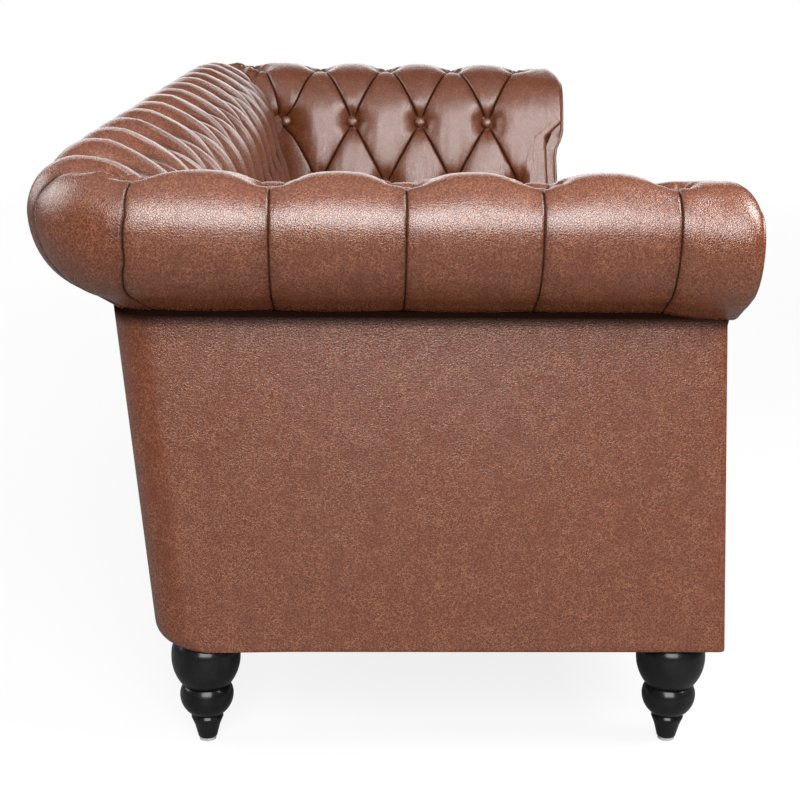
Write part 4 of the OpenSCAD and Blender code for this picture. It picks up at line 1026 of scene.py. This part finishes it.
def make_front_border(shape, b, material):
    """The padded border below the seat cushions, with a welt along its top and bottom."""
    edge_r = 0.012
    heights = [*(BASE_Z + COVER_GAP + h for h in (0, 0.002, 0.006, edge_r)),
               *np.linspace(BASE_Z + 0.02, DECK_Z - 0.02, 10),
               *(DECK_Z - h for h in (edge_r, 0.006, 0.002, 0.0))]
    front_lip = lip_front_y(shape)
    mid = (BASE_Z + DECK_Z) / 2
    bm = bmesh.new()
    for v, _, i in add_grid(bm, 61, len(heights)):
        z = heights[i]
        edge = min(z - BASE_Z, DECK_Z - z)
        draw = heel_inset(0.010, BASE_Z + edge)
        crown = 0.004 * (1 - ((z - mid) / (DECK_Z - mid)) ** 2)
        v.co = (v.co.x * BORDER_X, front_lip + front_at(shape, z) + draw - crown + 0.002, z)
    thicken(bm, 1, -1, BORDER_T)
    for z in (BASE_Z + edge_r, DECK_Z - edge_r):
        y = front_lip + front_at(shape, z) - 0.0005
        welt(bm, [(x, y, z) for x in np.linspace(-BORDER_X, BORDER_X, 30)], b.welt_r)
    return finish_piece("front_border_cover", bm, material, sharp=math.radians(50))


# Seat cushions
def cushion_rim(half_x, half_y, draw):
    """A rounded rectangle whose sides draw in between the corners."""
    out, count, n = [], 96, 9.0
    for k in range(count):
        a = 2 * math.pi * k / count
        x, y = math.cos(a), math.sin(a)
        scale = (abs(x) ** n + abs(y) ** n) ** (-1 / n)
        u, v = x * scale, y * scale
        u -= draw / half_x * (1 - abs(v) ** 3) * math.copysign(abs(u) ** 6, u)
        v -= draw / half_y * (1 - abs(u) ** 3) * math.copysign(abs(v) ** 6, v)
        out.append((u * half_x, v * half_y))
    return out


def inflate(piece, pins, cap):
    """Swells a closed mesh with a short cloth simulation, holding its seams."""
    rest = np.array([v.co for v in piece.data.vertices])
    group = piece.vertex_groups.new(name="seams")
    group.add([int(i) for i in pins], 1.0, "REPLACE")
    cloth = piece.modifiers.new("Cloth", "CLOTH")
    cloth.settings.use_pressure = True
    cloth.settings.uniform_pressure_force = 4.0
    cloth.settings.effector_weights.gravity = 0.0
    cloth.settings.vertex_group_mass = "seams"
    cloth.settings.quality = 5
    frames = 20
    cloth.point_cache.frame_start, cloth.point_cache.frame_end = 1, frames
    scene = bpy.context.scene
    for k in range(1, frames + 1):
        scene.frame_set(k)
    swollen = piece.evaluated_get(bpy.context.evaluated_depsgraph_get()).to_mesh()
    moved = np.array([v.co for v in swollen.vertices]) - rest
    piece.modifiers.remove(cloth)
    scene.frame_set(1)
    size = np.linalg.norm(moved, axis=1, keepdims=True)
    moved *= np.minimum(1, cap / np.maximum(size, 1e-9))
    piece.data.vertices.foreach_set("co", (rest + moved).ravel())
    piece.vertex_groups.clear()
    piece.data.update()


def cushion_mesh(size, height, crown):
    """The swollen mesh of a boxed seat cushion, centred on its bottom, and the line of its seams."""
    gap, draw, base, voxel, seam_reach, swell, cap = 0.003, 0.006, 0.004, 0.0065, 0.020, 0.8, 0.016
    rim = cushion_rim(size[0] / 2 - gap, size[1] / 2 - gap, draw)
    bm = bmesh.new()
    face = bm.faces.new([bm.verts.new((x, y, base)) for x, y in rim])
    made = bmesh.ops.extrude_face_region(bm, geom=[face])["geom"]
    top = next(g for g in made if isinstance(g, bmesh.types.BMFace))
    bmesh.ops.translate(bm, verts=top.verts, vec=(0, 0, height - 0.006))
    bmesh.ops.recalc_face_normals(bm, faces=bm.faces)
    bmesh.ops.triangulate(bm, faces=bm.faces)
    mesh = bpy.data.meshes.new("cushion_start")
    bm.to_mesh(mesh)
    bm.free()
    piece = bpy.data.objects.new("cushion_start", mesh)
    bpy.context.scene.collection.objects.link(piece)
    remesh = piece.modifiers.new("Remesh", "REMESH")
    remesh.mode, remesh.voxel_size = "VOXEL", voxel
    even = bpy.data.meshes.new_from_object(piece.evaluated_get(bpy.context.evaluated_depsgraph_get()))
    piece.modifiers.clear()
    piece.data = even
    co = np.array([v.co for v in even.vertices])
    outer = np.array(rim)
    away = co[:, None, :2] - outer[None]
    near = np.min(np.hypot(away[..., 0], away[..., 1]), axis=1)
    # The seams and the underside are held, and the top is crowned away from its seam
    z = co[:, 2].copy()
    pins = np.where(((np.abs(z - height) < 0.009) | (z < 0.010)) & (near < seam_reach))[0]
    flat = np.where(z < 0.0065)[0]
    co[:, 2] += np.where(z > height - 0.007, swell * crown * (1 - np.exp(-near / 0.05)), 0)
    even.vertices.foreach_set("co", co.ravel())
    inflate(piece, np.union1d(pins, flat), cap)
    mesh = piece.data
    bpy.data.objects.remove(piece)
    return mesh, rim


def make_cushions(b, material):
    lo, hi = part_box("centre_seat_cushion")
    height = 0.128
    mesh, rim = cushion_mesh((hi.x - lo.x, hi.y - lo.y), height, hi.z - lo.z - height)
    for seed, (body, node) in enumerate(CUSHIONS.items()):
        lo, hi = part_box(node)
        mid = Vector(((lo.x + hi.x) / 2, (lo.y + hi.y) / 2, lo.z))
        bm = bmesh.new()
        bm.from_mesh(mesh)
        for v in bm.verts:
            sag = 0.0025 * noise.noise(v.co / 0.09 + Vector((seed * 9.1, 2.0, 4.0)))
            v.co.z += sag * min(1.0, max(0.0, (v.co.z - 0.02) / 0.08))
        bmesh.ops.smooth_vert(bm, verts=bm.verts, factor=0.5, use_axis_x=True, use_axis_y=True,
                              use_axis_z=True)
        for z in (0.006, height - 0.002):
            welt(bm, [(x * 1.002, y * 1.002, z) for x, y in rim], b.welt_r, closed=True)
        bmesh.ops.translate(bm, verts=bm.verts, vec=mid)
        piece = finish_piece(f"{body}_cover", bm, material, body)
        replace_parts(piece, node)


# Feet
def foot_profile():
    """Radius and height of a turned foot, from its tip to its collar."""
    lo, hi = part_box("front_left_foot")
    bowl = (hi.x - lo.x) / 2
    h = hi.z
    top = BASE_Z - 0.0005

    def bead(r0, r1, z0, z1, n):
        """Points from the widest place r0 at z0 to the narrow place r1 at z1."""
        dr, dz = r0 - r1, abs(z0 - z1)
        big = (dz * dz + dr * dr) / (2 * dr)
        full = math.asin(min(1.0, dz / big))
        way = 1 if z1 > z0 else -1
        return [(r0 - big + big * math.cos(full * k / n), z0 + way * big * math.sin(full * k / n))
                for k in range(n + 1)]
    ball, neck, cup, tip = 0.035, 0.0305, 0.021, 0.0125
    bowl_z, neck_z, ball_z, cup_z = h * 0.79, h * 0.527, h * 0.433, h * 0.22
    pts = [(0.0, lo.z), (tip - 0.001, lo.z), (tip, lo.z + 0.001), (tip + 0.0012, lo.z + 0.006),
           (cup - 0.0045, cup_z - 0.012), (cup - 0.0018, cup_z - 0.005), (cup - 0.0003, cup_z - 0.0015),
           (cup, cup_z), (cup - 0.0006, cup_z + 0.0016), (cup - 0.0018, cup_z + 0.003)]
    pts += bead(ball, cup - 0.0022, ball_z, cup_z + 0.004, 12)[::-1]
    pts += bead(ball, neck + 0.0003, ball_z, neck_z - 0.0008, 10)[1:]
    pts += [(neck - 0.0004, neck_z)]
    pts += bead(bowl, neck + 0.0003, bowl_z, neck_z + 0.0008, 16)[::-1]
    pts += [(bowl, bowl_z + 0.003), (bowl - 0.0006, top - 0.014), (bowl - 0.0016, top - 0.010),
            (bowl - 0.004, top - 0.005), (bowl - 0.0075, top), (0.018, top), (0.018, h), (0.0, h)]
    return pts


def make_foot(name, node, material):
    lo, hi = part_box(node)
    bm = bmesh.new()
    verts = [bm.verts.new((r, 0, z)) for r, z in foot_profile()]
    edges = [bm.edges.new(pair) for pair in zip(verts, verts[1:])]
    bmesh.ops.spin(bm, geom=verts + edges, cent=(0, 0, 0), axis=(0, 0, 1), angle=2 * math.pi, steps=72,
                   use_merge=True)
    bmesh.ops.remove_doubles(bm, verts=bm.verts, dist=1e-5)
    bmesh.ops.recalc_face_normals(bm, faces=bm.faces)
    bmesh.ops.translate(bm, verts=bm.verts, vec=((lo.x + hi.x) / 2, (lo.y + hi.y) / 2, 0))
    piece = finish_piece(name, bm, material, sharp=math.radians(38))
    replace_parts(piece, node)


# Operators
# Each lamp's name, place, target, width, height and watts
LAMPS = (("key", (-3.67, 0.0, 2.17), (-1.05, 0, 0.72), 2.3, 2.2, 164),
         ("front_fill", (-1.2, -1.9, 2.1), (-1.0, 0, 0.75), 1.2, 1.2, 76),
         ("far_low", (3.6, 0.2, 1.5), (0.2, 0.2, 0.75), 4.0, 1.4, 42),
         ("rear_fill", (0.6, 3.4, 2.2), (0, 0.4, 0.5), 3.0, 2.0, 80),
         ("top", (-0.9, 0.01, 3.0), (-0.9, 0, 0.7), 3.6, 3.6, 22))


def settings():
    """The sofa's shape, buttoning and colours, as set in the scene."""
    scene = bpy.context.scene
    return scene.sofa_shape, scene.sofa_buttoning, scene.sofa_colours


def made_material(name, make, *args):
    """A material of the sofa, made at its first use."""
    return bpy.data.materials.get(f"sofa_{name}") or make(f"sofa_{name}", *args)


# The leather with painted shade in its pleats, round its pits and under the rolls' lips
def leather():
    return made_material("brown_leather", leather_finish, settings()[2], True)


# The same leather without the painted shade
def plain_leather():
    return made_material("brown_leather_plain", leather_finish, settings()[2], False)


class SOFA_OT_stage(bpy.types.Operator):
    """Makes the floor, the lamps, the world and the camera"""

    bl_idname = "sofa.stage"
    bl_label = "Stage"

    def execute(self, context):
        scene = context.scene
        scene.view_settings.view_transform = "Standard"
        make_floor(settings()[2].floor)
        make_world()
        for lamp in LAMPS:
            add_lamp(*lamp)
        add_camera()
        return {"FINISHED"}


def make_floor(colour):
    """A pale floor that the camera sees near white, with soft shadows close to the sofa."""
    bm = bmesh.new()
    bmesh.ops.create_grid(bm, x_segments=1, y_segments=1, size=12.0)
    mesh = bpy.data.meshes.new("floor")
    bm.to_mesh(mesh)
    bm.free()
    f = Finish("pale_floor")
    mottle = f.noise(3.0, 2.0)
    rays = f.tree.nodes.new("ShaderNodeLightPath")
    direct = Value(f, rays.outputs["Is Camera Ray"])
    pale = f.mix(mottle * 0.1, colour, (0.76, 0.76, 0.77))
    soft = Value(f, rays.outputs["Is Diffuse Ray"]) * 0.4
    f.set(Base_Color=f.mix(direct.math("MAXIMUM", soft), (0.12, 0.12, 0.12), pale), Roughness=0.6)
    glow = f.node("ShaderNodeEmission", {}, {"Color": (1, 1, 1), "Strength": 1.0})
    seen = direct.math("MAXIMUM", Value(f, rays.outputs["Is Glossy Ray"]) * 0.08)
    away = f.node("ShaderNodeVectorMath", {"operation": "LENGTH"}, {0: f.place}, "Value").ramp(1.5, 4.5)
    shown = f.node("ShaderNodeMixShader", {}, {0: seen * (away * 0.16 + 0.84),
                                               1: Value(f, f.shader.outputs[0]), 2: glow})
    f.put(f.tree.nodes["Material Output"].inputs["Surface"], shown)
    mesh.materials.append(f.material)
    floor = bpy.data.objects.new("floor", mesh)
    bpy.context.scene.collection.objects.link(floor)


def make_world():
    """White to the camera and through glass, and dim as a light."""
    world = bpy.data.worlds.new("studio")
    bpy.context.scene.world = world
    world.use_nodes = True
    tree = world.node_tree
    tree.nodes.clear()
    rays = tree.nodes.new("ShaderNodeLightPath")
    dim, white = tree.nodes.new("ShaderNodeBackground"), tree.nodes.new("ShaderNodeBackground")
    dim.inputs["Strength"].default_value, white.inputs["Strength"].default_value = 0.20, 1.0
    for shade in (dim, white):
        shade.inputs["Color"].default_value = (1, 1, 1, 1)
    seen = tree.nodes.new("ShaderNodeMath")
    seen.operation = "MAXIMUM"
    tree.links.new(rays.outputs["Is Camera Ray"], seen.inputs[0])
    tree.links.new(rays.outputs["Is Transmission Ray"], seen.inputs[1])
    mix, out = tree.nodes.new("ShaderNodeMixShader"), tree.nodes.new("ShaderNodeOutputWorld")
    tree.links.new(seen.outputs[0], mix.inputs[0])
    tree.links.new(dim.outputs[0], mix.inputs[1])
    tree.links.new(white.outputs[0], mix.inputs[2])
    tree.links.new(mix.outputs[0], out.inputs["Surface"])


def add_lamp(name, place, target, width, height, power):
    """Adds a rectangular lamp that the camera doesn't see."""
    lamp = bpy.data.lights.new(name, "AREA")
    lamp.shape, lamp.size, lamp.size_y, lamp.energy = "RECTANGLE", width, height, power
    holder = bpy.data.objects.new(name, lamp)
    holder.visible_camera = False
    aim = (Vector(target) - Vector(place)).normalized()
    side = aim.cross(Vector((0, 0, 1))).normalized()
    turned = Matrix((side, side.cross(aim), -aim)).transposed().to_4x4()
    holder.matrix_world = Matrix.Translation(place) @ turned
    bpy.context.scene.collection.objects.link(holder)


def add_camera():
    """The camera of the photograph, fitted with the sofa's own sizes held, on a frame of 800 pixels."""
    place, focal_px, frame_px = Vector((-2.8624, 0.0289, 0.9932)), 1607.7, 800
    heading, down, roll = (math.radians(a) for a in (-1.287, 15.263, 0.582))
    ahead = Vector((math.cos(down) * math.cos(heading), math.cos(down) * math.sin(heading), -math.sin(down)))
    right = ahead.cross(Vector((0, 0, 1))).normalized()
    up = right.cross(ahead)
    right, up = (right * math.cos(roll) + up * math.sin(roll), up * math.cos(roll) - right * math.sin(roll))
    lens = bpy.data.cameras.new("camera")
    lens.sensor_width = 36.0
    lens.lens = focal_px / frame_px * lens.sensor_width
    lens.clip_start, lens.clip_end = 0.05, 60
    holder = bpy.data.objects.new("camera", lens)
    holder.matrix_world = Matrix.Translation(place) @ Matrix((right, up, -ahead)).transposed().to_4x4()
    bpy.context.scene.collection.objects.link(holder)
    bpy.context.scene.camera = holder


class SOFA_OT_pads(bpy.types.Operator):
    """Makes the buttoned pads of the arms and the back"""

    bl_idname = "sofa.pads"
    bl_label = "Buttoned pads"

    def execute(self, context):
        shape, b, _ = settings()
        for name, sign in SIDES.items():
            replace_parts(make_arm_pad(f"{name}_arm_roll", sign, shape, b, leather()), f"{name}_arm_pad")
        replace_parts(make_back_pad(shape, b, leather()), "back_pad")
        return {"FINISHED"}


class SOFA_OT_buttons(bpy.types.Operator):
    """Makes the covered buttons in the pits of the pads"""

    bl_idname = "sofa.buttons"
    bl_label = "Buttons"

    def execute(self, context):
        shape, b, _ = settings()
        for name, sign in SIDES.items():
            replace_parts(make_arm_buttons(f"{name}_arm_button_heads", sign, shape, b, plain_leather()),
                        f"{name}_arm_buttons")
        for row, name in enumerate(("back_crest", "back_middle", "back_lower")):
            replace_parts(make_back_buttons(f"{name}_button_heads", row, shape, b, plain_leather()),
                        f"{name}_buttons")
        return {"FINISHED"}


class SOFA_OT_panels(bpy.types.Operator):
    """Makes the covers of the outer panels, the arm fronts and the front border"""

    bl_idname = "sofa.panels"
    bl_label = "Outer panels"

    def execute(self, context):
        shape, b, _ = settings()
        for name, sign in SIDES.items():
            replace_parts(make_side_cover(f"{name}_side_cover", sign, shape, leather()),
                        f"{name}_outer_panel")
            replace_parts(make_arm_front(f"{name}_arm_front", sign, shape, b, plain_leather()),
                        f"{name}_arm_facing")
        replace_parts(make_back_cover(shape, leather()), "back_outer_panel")
        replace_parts(make_front_border(shape, b, plain_leather()), "front_border")
        return {"FINISHED"}


class SOFA_OT_cushions(bpy.types.Operator):
    """Makes the three loose seat cushions"""

    bl_idname = "sofa.cushions"
    bl_label = "Seat cushions"

    def execute(self, context):
        make_cushions(settings()[1], plain_leather())
        return {"FINISHED"}


class SOFA_OT_feet(bpy.types.Operator):
    """Makes the turned feet"""

    bl_idname = "sofa.feet"
    bl_label = "Turned feet"

    def execute(self, context):
        black = made_material("black_lacquer", lacquer_finish, settings()[2])
        for node in ("front_left", "front_right", "rear_left", "rear_right"):
            make_foot(f"{node}_turned_foot", f"{node}_foot", black)
        return {"FINISHED"}


class SOFA_OT_frame(bpy.types.Operator):
    """Gives the frame's own parts their timber, board, steel, cloth and nylon"""

    bl_idname = "sofa.frame"
    bl_label = "Frame finishes"

    def execute(self, context):
        colours = settings()[2]
        finishes = {
            "frame_timber": made_material("frame_timber", timber_finish, colours),
            "plywood": made_material("plywood", ply_finish),
            "zinc_steel": made_material("zinc_steel", zinc_finish),
            "black_cloth": made_material("black_cloth", cloth_finish),
            "nylon": made_material("nylon", nylon_finish),
            "black_lacquer": made_material("black_lacquer", lacquer_finish, colours),
            "brown_leather": plain_leather(), "button_leather": plain_leather(),
        }
        slots = {s["node"]: s["material_slot"] for s in frame["record"]["subparts"]}
        for node, piece in frame["nodes"].items():
            piece.data.materials.clear()
            piece.data.materials.append(finishes[slots[node]])
        return {"FINISHED"}


class SOFA_PT_panel(bpy.types.Panel):
    """Lists the pieces of the sofa"""

    bl_label = "Rolled arm sofa"
    bl_space_type = "VIEW_3D"
    bl_region_type = "UI"
    bl_category = "Sofa"

    def draw(self, context):
        for operator in STEPS:
            self.layout.operator(operator.bl_idname)


STEPS = (SOFA_OT_stage, SOFA_OT_frame, SOFA_OT_pads, SOFA_OT_buttons, SOFA_OT_panels, SOFA_OT_cushions,
         SOFA_OT_feet)
GROUPS = {"sofa_shape": SofaShape, "sofa_buttoning": SofaButtoning, "sofa_colours": SofaColours}


def register():
    for group in (*GROUPS.values(), *STEPS, SOFA_PT_panel):
        bpy.utils.register_class(group)
    for name, group in GROUPS.items():
        setattr(bpy.types.Scene, name, PointerProperty(type=group))


def unregister():
    for name in GROUPS:
        delattr(bpy.types.Scene, name)
    for group in reversed((*GROUPS.values(), *STEPS, SOFA_PT_panel)):
        bpy.utils.unregister_class(group)


def main():
    register()
    for operator in STEPS:
        group, name = operator.bl_idname.split(".")
        getattr(getattr(bpy.ops, group), name)()


if __name__ == "__main__":
    main()
